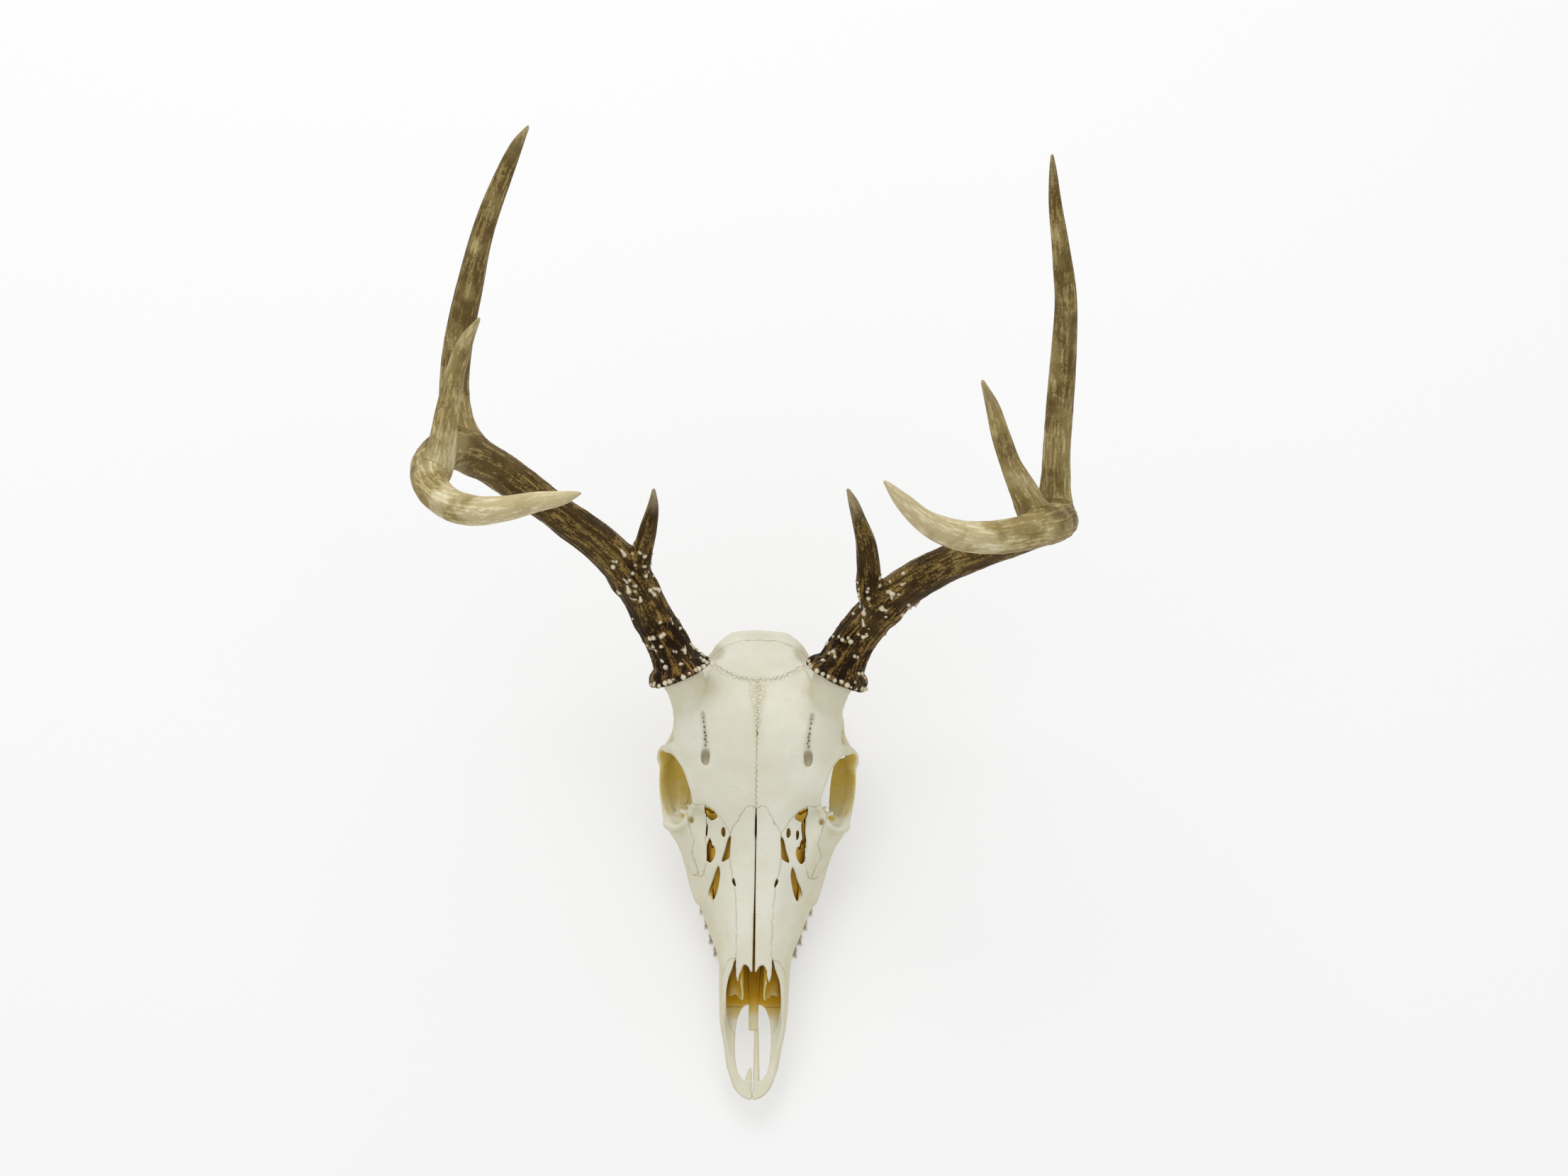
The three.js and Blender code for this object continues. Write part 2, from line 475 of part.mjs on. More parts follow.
const antlerParts = {};
Object.entries(ANTLERS).forEach(([name, antler]) => {
  const beam = antler.beam;
  const ends = [0, ...FORK_PLACES[name], 1];
  const spots = beam.map(([x, y, z]) => point(x, y, z));
  const middleLine = new THREE.CatmullRomCurve3(spots, false, 'centripetal');
  const halfGap = SUTURE_GAP / 2 / middleLine.getLength();
  const partOfBeam = (i, fatten) => {
    const shorter = fatten > 0 ? 0 : halfGap;
    const from = i === 0 ? 0 : ends[i] + shorter;
    const to = i === BEAM_PARTS.length - 1 ? 1 : ends[i + 1] - shorter;
    return solid(branch(beam, { sides: 9, step: i === 0 ? 6 : 14, from, to, fatten, swell: burrSwell }));
  };
  BEAM_PARTS.forEach((part, i) => {
    antlerParts[`antler_${name}_${part}`] = partOfBeam(i, 0);
  });
  const clearance = BEAM_PARTS
    .map((_, i) => partOfBeam(i, SUTURE_GAP * 1.3))
    .reduce((sum, part) => sum.add(part));
  TINE_NAMES.forEach((tine) => {
    const whole = solid(branch(antler[tine], { sides: 7, step: 15 }));
    antlerParts[`antler_${name}_${tine}`] = largest(whole.subtract(clearance));
  });
});

// ---- The scene ----
function meshOf(name, body, look) {
  const { numProp, vertProperties, triVerts } = body.getMesh();
  const geometry = new THREE.BufferGeometry();
  geometry.setAttribute('position', new THREE.BufferAttribute(vertProperties, numProp));
  geometry.setIndex(new THREE.BufferAttribute(triVerts, 1));
  geometry.computeVertexNormals();
  const mesh = new THREE.Mesh(geometry, new THREE.MeshStandardMaterial(look));
  mesh.name = name;
  return mesh;
}

const skull = new THREE.Group();
Object.entries(bones).forEach(([name, body]) => skull.add(meshOf(name, body, BONE)));
Object.entries(antlerParts).forEach(([name, body]) => skull.add(meshOf(name, body, ANTLER)));

// The origin is on the surface, under the middle of the whole skull with its antlers.
const box = new THREE.Box3().setFromObject(skull);
skull.position.set(-(box.min.x + box.max.x) / 2, -(box.min.y + box.max.y) / 2, 0);

export default skull;
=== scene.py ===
"""The finish of a white-tailed deer skull with antlers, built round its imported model."""
import math

import bpy
import numpy as np
import openvdb
from mathutils import Matrix, Vector


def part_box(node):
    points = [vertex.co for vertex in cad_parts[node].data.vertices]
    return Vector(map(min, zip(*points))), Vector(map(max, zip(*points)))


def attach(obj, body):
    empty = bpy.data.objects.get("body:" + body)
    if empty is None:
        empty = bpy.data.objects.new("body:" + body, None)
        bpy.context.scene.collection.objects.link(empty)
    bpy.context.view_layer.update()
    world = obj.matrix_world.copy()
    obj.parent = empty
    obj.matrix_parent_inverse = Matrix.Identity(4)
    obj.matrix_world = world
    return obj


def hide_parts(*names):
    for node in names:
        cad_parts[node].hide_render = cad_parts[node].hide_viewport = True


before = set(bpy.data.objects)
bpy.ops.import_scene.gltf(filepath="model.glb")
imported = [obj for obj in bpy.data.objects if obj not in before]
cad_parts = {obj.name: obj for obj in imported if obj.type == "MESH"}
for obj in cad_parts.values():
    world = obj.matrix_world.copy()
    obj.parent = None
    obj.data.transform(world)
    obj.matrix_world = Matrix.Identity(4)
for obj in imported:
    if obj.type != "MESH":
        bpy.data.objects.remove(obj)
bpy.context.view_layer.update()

# ------------------------------------------------------------------ The skull before it is parted
# The skull of a deer is one body of some twenty bones that meet at seams. It is shaped here as a
# whole in millimetres, measured from its nose: y runs back, x > 0 is the animal's left, z is height.
# The bones are parted from it further down, so that neighbours match along every seam.
MM = 0.001
NOSE_Y = 3
nasals = [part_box("nasal_left"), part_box("nasal_right")]
MIDDLE = (nasals[0][1].x + nasals[1][0].x) / 2 / MM
SHIFT = np.array([MIDDLE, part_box("premaxilla_left")[0].y / MM - NOSE_Y, 0])
GRAIN = 0.6           # size of the steps that the form is made of
SKULL_LOW, SKULL_HIGH = (0, -4, -3), (66, 278, 121)
FAR = 6.0                                    # distances are known up to here
NAPE_Y = 269
STATION_STEP = 1.5                           # from one cross-section to the next

# Lines that run from the nose to the nape: [y, half-width, height].
CREST = [[3, 0, 17.4], [13, 0, 19], [31, 0, 20.2], [45, 0, 21], [52, 0, 29], [60, 0, 44], [95, 0, 53],
         [115, 0, 58.5], [134, 0, 65], [149, 0, 71.5], [161, 0, 78], [177, 0, 86], [192, 0, 92.5],
         [205, 0, 96], [216, 0, 97], [230, 0, 93.5], [244, 0, 86.5], [257, 0, 78.5], [269, 0, 70]]
NASAL_EDGE = [[3, 3, 17.4], [13, 6.5, 19], [31, 10, 20.4], [45, 12.4, 21.4], [52, 12.6, 30],
              [60, 10, 42.5], [95, 10.4, 51.6], [116, 11.8, 57], [136, 16, 63.3], [149, 20, 68.6],
              [161, 24, 75.5], [177, 27, 84], [192, 29, 91], [206, 30, 94.6], [218, 29, 94.8],
              [232, 23, 91], [246, 19, 84], [257, 17, 77], [269, 14.5, 69.5]]
BROW = [[3, 5, 17.2], [13, 10.6, 19.4], [22, 13.6, 22], [31, 15.4, 25], [49, 17.6, 31], [62, 17.4, 37],
        [78, 18, 39], [99, 20, 43], [119, 24, 48], [137, 30, 55], [152, 34.6, 60.5], [161, 35.6, 66.5],
        [168, 36.6, 73], [175, 38.8, 78], [181, 40.8, 80.5], [187, 43.6, 82], [193, 46.8, 82.6],
        [200, 47.6, 84.5], [208, 45.5, 87], [220, 43, 89], [233, 36, 85], [245, 31.5, 78],
        [254, 27, 72], [262, 22.5, 68.5], [269, 17, 66.5]]
UNDER_BROW = [[3, 6.5, 17], [13, 12.8, 19], [31, 16.2, 22], [49, 18.8, 25], [62, 18.6, 29.5],
              [79, 20.3, 31], [101, 25.3, 34], [121, 32.5, 38], [140, 38.5, 44], [153, 43, 50],
              [163, 43, 56], [173, 34, 67], [187, 36.5, 74.5], [199, 39.5, 76.5], [209, 38.5, 77.5],
              [221, 38.5, 78], [234, 39, 72], [247, 36.5, 66], [258, 31, 60], [269, 19.5, 64.5]]
CHEEK = [[3, 7, 15.5], [13, 13.5, 16.5], [31, 16.9, 18], [49, 19.8, 19.3], [62, 20.4, 20], [80, 21, 21],
         [99, 27.4, 23], [111, 32, 24.5], [123, 37.8, 26.5], [140, 42.6, 32], [152, 46, 38],
         [163, 49, 43], [175, 23, 51], [189, 21.5, 54], [201, 22.5, 56], [211, 27, 58], [223, 35, 60],
         [236, 39, 57], [248, 37.5, 53], [259, 32, 47], [269, 17.5, 61]]
TOOTH_LINE = [[3, 6, 13.8], [13, 12.5, 14], [31, 15.5, 14.8], [62, 18.5, 14], [84, 20.8, 13],
              [99, 25.5, 12.5], [120, 31.5, 12.5], [142, 33.5, 13.5], [157, 35, 18], [166, 33, 28],
              [178, 19.5, 34], [192, 18, 37], [204, 20, 41], [214, 26, 43], [226, 33, 42],
              [238, 37, 38], [250, 34.5, 34], [260, 28, 30], [269, 9, 58]]
PALATE = [[3, 3, 13.5], [13, 6, 14], [31, 8, 14.6], [62, 9.5, 15.5], [84, 11, 15.5], [124, 16.5, 15.5],
          [144, 17.5, 15.5], [157, 16, 16.5], [168, 13, 24], [178, 11, 26], [192, 10, 27],
          [204, 11, 25], [214, 13, 22], [226, 15, 20], [250, 17, 18.5], [260, 14, 22], [269, 5, 57]]
KEEL = [[3, 0, 13.5], [13, 0, 14], [31, 0, 14.6], [62, 0, 15.8], [84, 0, 17.5], [144, 0, 17.5],
        [157, 0, 18], [168, 0, 25], [178, 0, 26.5], [192, 0, 27], [204, 0, 25], [214, 0, 22],
        [226, 0, 20], [250, 0, 18.5], [260, 0, 22], [269, 0, 57]]
SIDE_LINES = [NASAL_EDGE, BROW, UNDER_BROW, CHEEK, TOOTH_LINE, PALATE]


def along(line, y):
    """Half-width and height of a line at each y, on a curve that never overshoots its points."""
    line = np.array(line, float)
    gaps = np.diff(line[:, 0])
    slopes = np.diff(line[:, 1:], axis=0) / gaps[:, None]
    before, after = slopes[:-1], slopes[1:]
    total = np.where(before * after > 0, before + after, 1)
    inner = np.where(before * after > 0, 2 * before * after / total, 0)
    bend = np.vstack([slopes[:1], inner, slopes[-1:]])
    y = np.clip(y, line[0, 0], line[-1, 0])
    i = np.clip(np.searchsorted(line[:, 0], y, side="right") - 1, 0, len(gaps) - 1)
    t = ((y - line[i, 0]) / gaps[i])[:, None]
    gap = gaps[i][:, None]
    start = (2 * t**3 - 3 * t**2 + 1) * line[i, 1:] + (t**3 - 2 * t**2 + t) * gap * bend[i]
    return start + (3 * t**2 - 2 * t**3) * line[i + 1, 1:] + (t**3 - t**2) * gap * bend[i + 1]


def bent(points, per_span=8, closed=False):
    """A smooth line through points, with the same number of places in each span."""
    points = np.array(points, float)
    if closed:
        run = np.vstack([points[-1:], points, points[:2]])
    else:
        run = np.vstack([2 * points[:1] - points[1:2], points, 2 * points[-1:] - points[-2:-1]])
    steps = np.maximum(np.linalg.norm(np.diff(run, axis=0), axis=1), 1e-6) ** 0.5
    knots = np.concatenate([[0], np.cumsum(steps)])
    placed = []
    for i in range(1, len(run) - 2):
        k = knots[i - 1:i + 3]
        p = run[i - 1:i + 3]
        t = np.linspace(k[1], k[2], per_span, endpoint=False)[:, None]
        a = [((k[j + 1] - t) * p[j] + (t - k[j]) * p[j + 1]) / (k[j + 1] - k[j]) for j in range(3)]
        b = [((k[j + 2] - t) * a[j] + (t - k[j]) * a[j + 1]) / (k[j + 2] - k[j]) for j in range(2)]
        placed.append(((k[2] - t) * b[0] + (t - k[1]) * b[1]) / (k[2] - k[1]))
    if not closed:
        placed.append(points[-1:])
    return np.vstack(placed)


def evenly(points, spacing):
    """The same line with its places set evenly along its length."""
    steps = np.linalg.norm(np.diff(points[:, :3], axis=0), axis=1)
    run = np.concatenate([[0], np.cumsum(steps)])
    places = np.linspace(0, run[-1], max(2, int(run[-1] / spacing) + 1))
    return np.stack([np.interp(places, run, points[:, k]) for k in range(points.shape[1])], axis=1)


def skin(rings):
    """Points, quads and end triangles of a closed body through rings of points."""
    count, sides = rings.shape[:2]
    i = np.arange(count - 1)[:, None] * sides
    j = np.arange(sides)
    after = (j + 1) % sides
    quads = np.stack([i + j, i + after, i + sides + after, i + sides + j], axis=-1).reshape(-1, 4)
    ends = np.stack([rings[0].mean(0), rings[-1].mean(0)])
    points = np.vstack([rings.reshape(-1, 3), ends])
    last = (count - 1) * sides
    first_cap = np.stack([np.full(sides, count * sides), j, after], axis=1)
    last_cap = np.stack([np.full(sides, count * sides + 1), last + j, last + after], axis=1)
    return points, quads, np.vstack([first_cap, last_cap])


def joined(a, b, blend=0):
    """The union of two forms given as distances, with the corner between them filled by blend."""
    if blend == 0:
        return np.minimum(a, b)
    near = np.maximum(blend - np.abs(a - b), 0)
    return np.minimum(a, b) - near * near / (4 * blend)


class Clay:
    """A block of places that each hold the distance to the surface, below 0 inside the bone."""

    def __init__(self, low, high, step=GRAIN):
        self.low, self.step = np.array(low, float), step
        self.size = np.ceil((np.array(high) - self.low) / step).astype(int) + 1
        self.depth = np.full(self.size, FAR, np.float32)

    def window(self, low, high):
        """The part of the block between two corners, and its coordinates."""
        first = np.floor((np.array(low) - self.low) / self.step).astype(int)
        last = np.ceil((np.array(high) - self.low) / self.step).astype(int) + 1
        first, last = np.clip(first, 0, self.size - 1), np.clip(last, 1, self.size)
        axes = [(self.low[k] + self.step * np.arange(first[k], last[k])).astype(np.float32) for k in range(3)]
        part = tuple(slice(first[k], last[k]) for k in range(3))
        return part, axes[0][:, None, None], axes[1][None, :, None], axes[2][None, None, :]

    def add(self, low, high, form, blend=0):
        part, x, y, z = self.window(low, high)
        self.depth[part] = joined(self.depth[part], form(x, y, z), blend)

    def carve(self, low, high, form, blend=0):
        part, x, y, z = self.window(low, high)
        self.depth[part] = -joined(-self.depth[part], form(x, y, z), blend)

    def rod(self, points, blend=0, flat=1, carve=False, spacing=2.5):
        """A bar of bone, or a groove, along points [x, y, z, radius]; flat > 1 makes it taller than wide."""
        line = evenly(bent(points), spacing)
        room = np.max(line[:, 3]) * max(flat, 1) + blend + 1.5
        low, high = line[:, :3].min(0) - room, line[:, :3].max(0) + room
        whole, _, _, _ = self.window(low, high)
        depth = np.full(self.depth[whole].shape, FAR + blend, np.float32)
        starts = [side.start for side in whole]
        for a, b in zip(line[:-1], line[1:]):
            reach = max(a[3], b[3]) * max(flat, 1) + blend + 1.5
            near, far = np.minimum(a, b)[:3] - reach, np.maximum(a, b)[:3] + reach
            part, x, y, z = self.window(near, far)
            run = b[:3] - a[:3]
            t = ((x - a[0]) * run[0] + (y - a[1]) * run[1] + (z - a[2]) * run[2]) / (run @ run)
            t = np.clip(t, 0, 1)
            away = (x - a[0] - t * run[0]) ** 2 + (y - a[1] - t * run[1]) ** 2
            away = np.sqrt(away + ((z - a[2] - t * run[2]) / flat) ** 2) - (a[3] + t * (b[3] - a[3]))
            own = tuple(slice(side.start - s, side.stop - s) for side, s in zip(part, starts))
            depth[own] = np.minimum(depth[own], away)
        if carve:
            self.depth[whole] = -joined(-self.depth[whole], depth, blend)
        else:
            self.depth[whole] = joined(self.depth[whole], depth, blend)

    def cast(self, points, quads, triangles, reach=3, blend=0, carve=False):
        """Adds a closed body given by its faces."""
        room = reach + 1
        part, _, _, _ = self.window(points.min(0) - room, points.max(0) + room)
        starts = np.array([side.start for side in part])
        inner = ((points - self.low) / self.step - starts).astype(np.float32)
        grid = openvdb.FloatGrid.createLevelSetFromPolygons(
            inner, triangles=triangles.astype(np.uint32), quads=quads.astype(np.uint32),
            transform=openvdb.createLinearTransform(1.0), halfWidth=reach / self.step)
        depth = np.zeros(self.depth[part].shape, np.float32)
        grid.copyToArray(depth)
        depth = depth * self.step
        if carve:
            self.depth[part] = -joined(-self.depth[part], depth, blend)
        else:
            self.depth[part] = joined(self.depth[part], depth, blend)

    def at(self, points, values=None):
        """The value held nearest to each point."""
        values = self.depth if values is None else values
        i = np.rint((points - self.low) / self.step).astype(int)
        i = np.clip(i, 0, self.size - 1)
        return values[i[:, 0], i[:, 1], i[:, 2]]


def ball(middle, radii):
    """An egg-shaped form."""
    def form(x, y, z):
        u, v, w = x - middle[0], y - middle[1], z - middle[2]
        near = np.sqrt((u / radii[0]) ** 2 + (v / radii[1]) ** 2 + (w / radii[2]) ** 2) + 1e-6
        slope = np.sqrt((u / radii[0] ** 2) ** 2 + (v / radii[1] ** 2) ** 2 + (w / radii[2] ** 2) ** 2) + 1e-6
        return (near * (near - 1) / slope).astype(np.float32)
    return form


def around(middle, radii, room=2):
    """The corners of the space that a ball takes."""
    middle, reach = np.array(middle, float), np.array(radii, float) + room
    return middle - reach, middle + reach


def flat_depth(u, v, outline):
    """Distance to a closed outline in a plane, below 0 inside it."""
    best = np.full(np.broadcast(u, v).shape, 1e9, np.float32)
    inside = np.zeros(best.shape, bool)
    for (u0, v0), (u1, v1) in zip(outline, np.roll(outline, -1, axis=0)):
        du, dv = u1 - u0, v1 - v0
        t = np.clip(((u - u0) * du + (v - v0) * dv) / max(du * du + dv * dv, 1e-9), 0, 1)
        best = np.minimum(best, (u - u0 - t * du) ** 2 + (v - v0 - t * dv) ** 2)
        if v0 != v1:
            inside ^= ((v0 > v) != (v1 > v)) & (u < du * (v - v0) / dv + u0)
    return np.where(inside, -1, 1) * np.sqrt(best)


def prism(outline, low, high, smooth=True):
    """A form that stands on an outline drawn from above."""
    edge = bent(outline, 4, closed=True) if smooth else np.array(outline, float)

    def form(x, y, z):
        return np.maximum(flat_depth(x, y, edge), np.maximum(low - z, z - high))
    return form


def uneven(u, v, w, size, seed):
    """Smooth random numbers from -1 to 1 over space, a swell about every size millimetres."""
    whole, parts, total = [], [], 0
    for n, c in enumerate((u, v, w)):
        c = np.asarray(c, np.float64) / size + 31.7 * n + 5.3 * seed
        floor = np.floor(c)
        share = c - floor
        whole.append(floor.astype(np.int64))
        parts.append(share * share * (3 - 2 * share))
    for corner in range(8):
        turns = [corner >> 2 & 1, corner >> 1 & 1, corner & 1]
        key = (whole[0] + turns[0]) * 374761393 + (whole[1] + turns[1]) * 668265263
        key = key + (whole[2] + turns[2]) * 1442695041 + seed * 97531
        key = (key ^ (key >> 13)) * 1274126177
        key = key ^ (key >> 16)
        weight = 1.0
        for turn, part in zip(turns, parts):
            weight = weight * (part if turn else 1 - part)
        total = total + weight * ((key & 0xFFFF) / 32767.5 - 1)
    return total


clay = Clay(SKULL_LOW, SKULL_HIGH)
stations = np.arange(NOSE_Y - STATION_STEP, NAPE_Y + 0.1, STATION_STEP)
side_runs = [along(line, stations) for line in SIDE_LINES]
crest_run, keel_run = along(CREST, stations), along(KEEL, stations)
rings = []
for i, y in enumerate(stations):
    left = [run[i] for run in side_runs]
    ring = [crest_run[i], *left, keel_run[i], *[(-x, z) for x, z in reversed(left)]]
    smooth_ring = bent(ring, 8, closed=True)
    rings.append(np.stack([smooth_ring[:, 0], np.full(len(smooth_ring), y), smooth_ring[:, 1]], axis=1))
clay.cast(*skin(np.array(rings)), reach=FAR)

# Ridges and pillars that stand on the form: brow ridge, cheek arch, the bar behind the orbit,
# the orbit's front rim, the crests of the face and nape, and the stump under each antler.
PEDICLE_FOOT, PEDICLE_NEXT = np.array([44.8, 233, 107]), np.array([61, 259.5, 124.5])
antler_way = (PEDICLE_NEXT - PEDICLE_FOOT) / np.linalg.norm(PEDICLE_NEXT - PEDICLE_FOOT)
pedicle_top = PEDICLE_FOOT - 0.3 * antler_way
RODS = [  # points [x, y, z, radius], blend, flatness
    ([[35.8, 164, 68, 1.2], [36.4, 169, 73, 1.3], [38.4, 175, 77.6, 1.3], [41, 182, 80.4, 1.3],
      [44.6, 188, 81.6, 1.5], [48, 193.5, 81.4, 2.0]], 3, 1),
    ([[47.2, 195, 81.2, 3.2], [50.8, 196.4, 75.5, 3.1], [54.4, 197.8, 66, 2.9], [56.4, 198, 56, 3.0],
      [56.4, 197, 48, 3.2]], 3, 1.1),
    ([[40, 146, 35, 4], [47.6, 155, 40, 3.8], [52.8, 165, 44.5, 3.2], [55.3, 179, 46.5, 2.7],
      [55.5, 190, 47.5, 2.7], [55.6, 198.5, 48, 3.0], [51.4, 207, 48.6, 2.7], [48.7, 213.5, 48.5, 2.7],
      [47.6, 223, 48, 2.9], [41.5, 233, 45, 4.5], [34, 238, 44, 6]], 3, 1.45),
    ([[52.5, 158, 44, 2.6], [47.5, 155.5, 48.5, 2.3], [42.5, 156.5, 54.5, 2.2], [38.6, 160, 61, 1.8],
      [36.6, 164, 67, 1.4]], 3, 1),
    ([[41, 148, 33, 2.6], [37.5, 134, 28, 2], [34, 118, 25.5, 1.4]], 6, 1),
    ([[0, 267.3, 70.6, 2.6], [9, 267.6, 69.6, 2.2], [17, 266.4, 68.2, 1.7], [22.5, 263, 66.4, 1.4],
      [27, 258, 60, 1.4], [31, 251, 52, 1.6], [33, 246, 45, 2.2]], 3.5, 1),
    ([[0, 268, 66, 2.6], [0, 267, 56, 1.6]], 5, 1),
    ([[36.8, 202, 83, 6], [37.8, 211, 86.5, 7.8], [39.4, 219.5, 92.5, 9.2], [41.8, 227.6, 101, 10.2],
      [*pedicle_top, 11.2]], 13, 1),
    ([[24, 238, 38, 6.2], [25, 243, 26, 4.4], [24.8, 246, 13, 3.4], [24.5, 247, 2.4, 2.4]], 3, 1),
    ([[37, 231, 44, 3.8], [41.5, 230, 47, 3.0]], 2, 1),
    ([[19, 219, 17, 1.6], [14.5, 213, 14.5, 0.9]], 2, 1),
    ([[30, 228, 43, 4], [36, 224, 42, 3.6], [43, 223, 43.5, 2.6]], 3, 1),
]
for points, blend, flat in RODS:
    clay.rod(points, blend, flat)


def top_at(x, y):
    """Height of the bone's upper surface at a place."""
    i, j = round((x - clay.low[0]) / GRAIN), round((y - clay.low[1]) / GRAIN)
    return clay.low[2] + GRAIN * np.nonzero(clay.depth[i, j] < 0)[0].max()


TEMPLE_LINE = [(8, 262.6, 0.7), (16, 258, 0.8), (22.6, 250.2, 0.9), (26, 241.4, 1.0), (30, 231, 1.0)]
clay.rod([[px, py, top_at(px, py) + 0.1, radius] for px, py, radius in TEMPLE_LINE], 3)
hull = clay.depth.copy()

# The cupped floor of the orbit, a thin sheet of the cheekbone that turns in under the eye.
SHELF = [  # y, outer edge (x, z), middle (x, z), inner edge (x, z)
    (157, (50.4, 46), (46, 42), (40, 40)), (163, (53.4, 47), (49, 41), (42.6, 38)),
    (172, (55.2, 48), (50.6, 40), (43, 35.5)), (182, (55.8, 48.6), (51.4, 40), (43.4, 35)),
    (192, (56, 49.6), (52.2, 41.5), (44.5, 37)), (200, (55.8, 52), (52.6, 44), (46.5, 40))]
SHELF_HALF = 1.1
shelf_rings = []
for y, *places in SHELF:
    spine = bent([(x, z) for x, z in places], 5)
    slope = np.gradient(spine, axis=0)
    slope = slope / np.linalg.norm(slope, axis=1)[:, None]
    across = np.stack([-slope[:, 1], slope[:, 0]], axis=1) * SHELF_HALF
    ring = np.vstack([spine + across, (spine - across)[::-1]])
    shelf_rings.append(np.stack([ring[:, 0], np.full(len(ring), y), ring[:, 1]], axis=1))
shelf_rings = np.array([bent(column, 5) for column in np.array(shelf_rings).swapaxes(0, 1)]).swapaxes(0, 1)
clay.cast(*skin(shelf_rings), reach=3, blend=2.5)

# Knobs of the base: the joint knobs of the nape, the ear bubbles and the joints of the lower jaw.
KNOBS = [((11.5, 257, 23.5), (7.3, 9.5, 10), 3), ((17.5, 222, 21.5), (6.6, 10, 9), 2),
         ((28, 232, 33), (7, 8, 9), 5), ((9, 238, 22), (5, 8, 4), 4)]
for middle, radii, blend in KNOBS:
    clay.add(*around(middle, radii, 6), ball(middle, radii), blend)

# Two wings hang from the roof of the throat.
WING = [(158, 13.5, 16.5), (168, 11.5, 15), (180, 10.5, 15), (192, 10, 18), (198, 10, 23)]   # y, x, foot
WING_TOP = 29
wing_rings = []
for y, x, low in WING:
    top = [(x - 0.9, y, WING_TOP), (x + 1.1, y, WING_TOP)]
    wing_rings.append([*top, (x + 1.2, y, low), (x - 0.6, y, low - 0.6)])
clay.cast(*skin(np.array(wing_rings, float)), reach=2, blend=1.5)

# Hollows: nasal passage, brain room, orbits, throat, holes for nerves and vessels.
FACE_WALL = 2.3
PASSAGE_FRONT, PASSAGE_BACK, PASSAGE_HALF, PASSAGE_FLOOR = 10, 168, 25, 19.5
part, x, y, z = clay.window((0, 8, 12), (26, 170, 90))
passage = np.maximum(hull[part] + FACE_WALL, np.maximum(PASSAGE_FRONT - y, y - PASSAGE_BACK))
passage = np.maximum(passage, np.maximum(PASSAGE_FLOOR - z, x - PASSAGE_HALF))
clay.depth[part] = -joined(-clay.depth[part], passage, 1.0)
CAVITIES = [  # middle, radii, blend
    ((0, 224, 62), (27, 34, 24), 0),
    ((48.5, 180, 63), (20, 18.4, 15.5), 2),
    ((43, 183, 52), (13, 15, 12), 3),
    ((48.6, 171, 52.5), (9.4, 14, 8.6), 3),
    ((40, 208, 63), (11, 15, 14), 4),
    ((42, 230, 60), (5, 14, 10), 5),
    ((0, 170, 21), (8.6, 20, 7.6), 2),
    ((0, 262, 38), (9.5, 26, 9.5), 1),
    ((38.2, 157.2, 61), (1.5, 1.9, 5), 0.6),
    ((36.8, 108, 23), (4, 7, 2.6), 1.2),
    ((41, 232.5, 46), (2, 2, 2), 0.6),
    ((17, 207, 24), (3.2, 3.2, 5), 1.5),
    ((20, 234, 22), (2.5, 3, 4), 1),
    ((17, 250, 20), (2, 3, 3.5), 1),
    ((14, 268.5, 47), (9, 3.2, 12), 5),
    ((31, 262, 50), (5, 6, 12), 5),
    ((0, 120, 13.2), (13, 34, 4.2), 3),
]
for middle, radii, blend in CAVITIES:
    clay.carve(*around(middle, radii, 6), ball(middle, radii), blend)
# Over each eye a vessel leaves the brow by an oval hole and runs back in a shallow groove.
BROW_HOLE = ((29.8, 187.4, 88.8), (2.5, 4.4, 5.4))
clay.carve(*around(*BROW_HOLE), ball(*BROW_HOLE), 0.8)
BROW_GROOVE = [[29.7, 189, 90.4, 1.9], [29.8, 194.6, 92.8, 1.7], [30.4, 202, 94.8, 1.2],
               [31.8, 212, 96.4, 0.6]]
clay.rod(BROW_GROOVE, 2.6, carve=True)
clay.rod([[29.2, 184, 88.8, 1.1], [28.4, 176, 85.2, 0.5]], 2.4, carve=True)
SLIT_LINE = [(30.4, 202.6, 0.4), (30.7, 205, 0.6), (31.2, 208, 0.6), (31.8, 211, 0.35)]
clay.rod([[px, py, top_at(px, py) - 0.3, radius] for px, py, radius in SLIT_LINE], 0.4, carve=True, spacing=1)
PITS = [(29.8, 194.4, 0.65), (29.1, 196.2, 0.5), (30.0, 197.6, 0.7), (29.6, 199.6, 0.6), (30.3, 201.4, 0.6)]
for px, py, radius in PITS:
    middle, radii = (px, py, top_at(px, py) - 0.3), (radius, radius * 1.2, 1.4)
    clay.carve(*around(middle, radii), ball(middle, radii), 0.2)
# The hollow before the eye that holds the scent gland.
clay.carve(*around((33, 147, 66), (7, 15, 8), 6), ball((33.5, 147, 66.5), (6.5, 15, 6.5)), 4)
# Hook of the tear bone on the orbit's front rim.
clay.rod([[38.6, 162, 58, 1.5], [41.4, 162.4, 56.5, 1.25], [44.2, 163.6, 55.2, 1.2]], 1.0)
clay.rod([[38.6, 164.5, 60.5, 1.2], [40.4, 166, 59.5, 0.9]], 1.0)

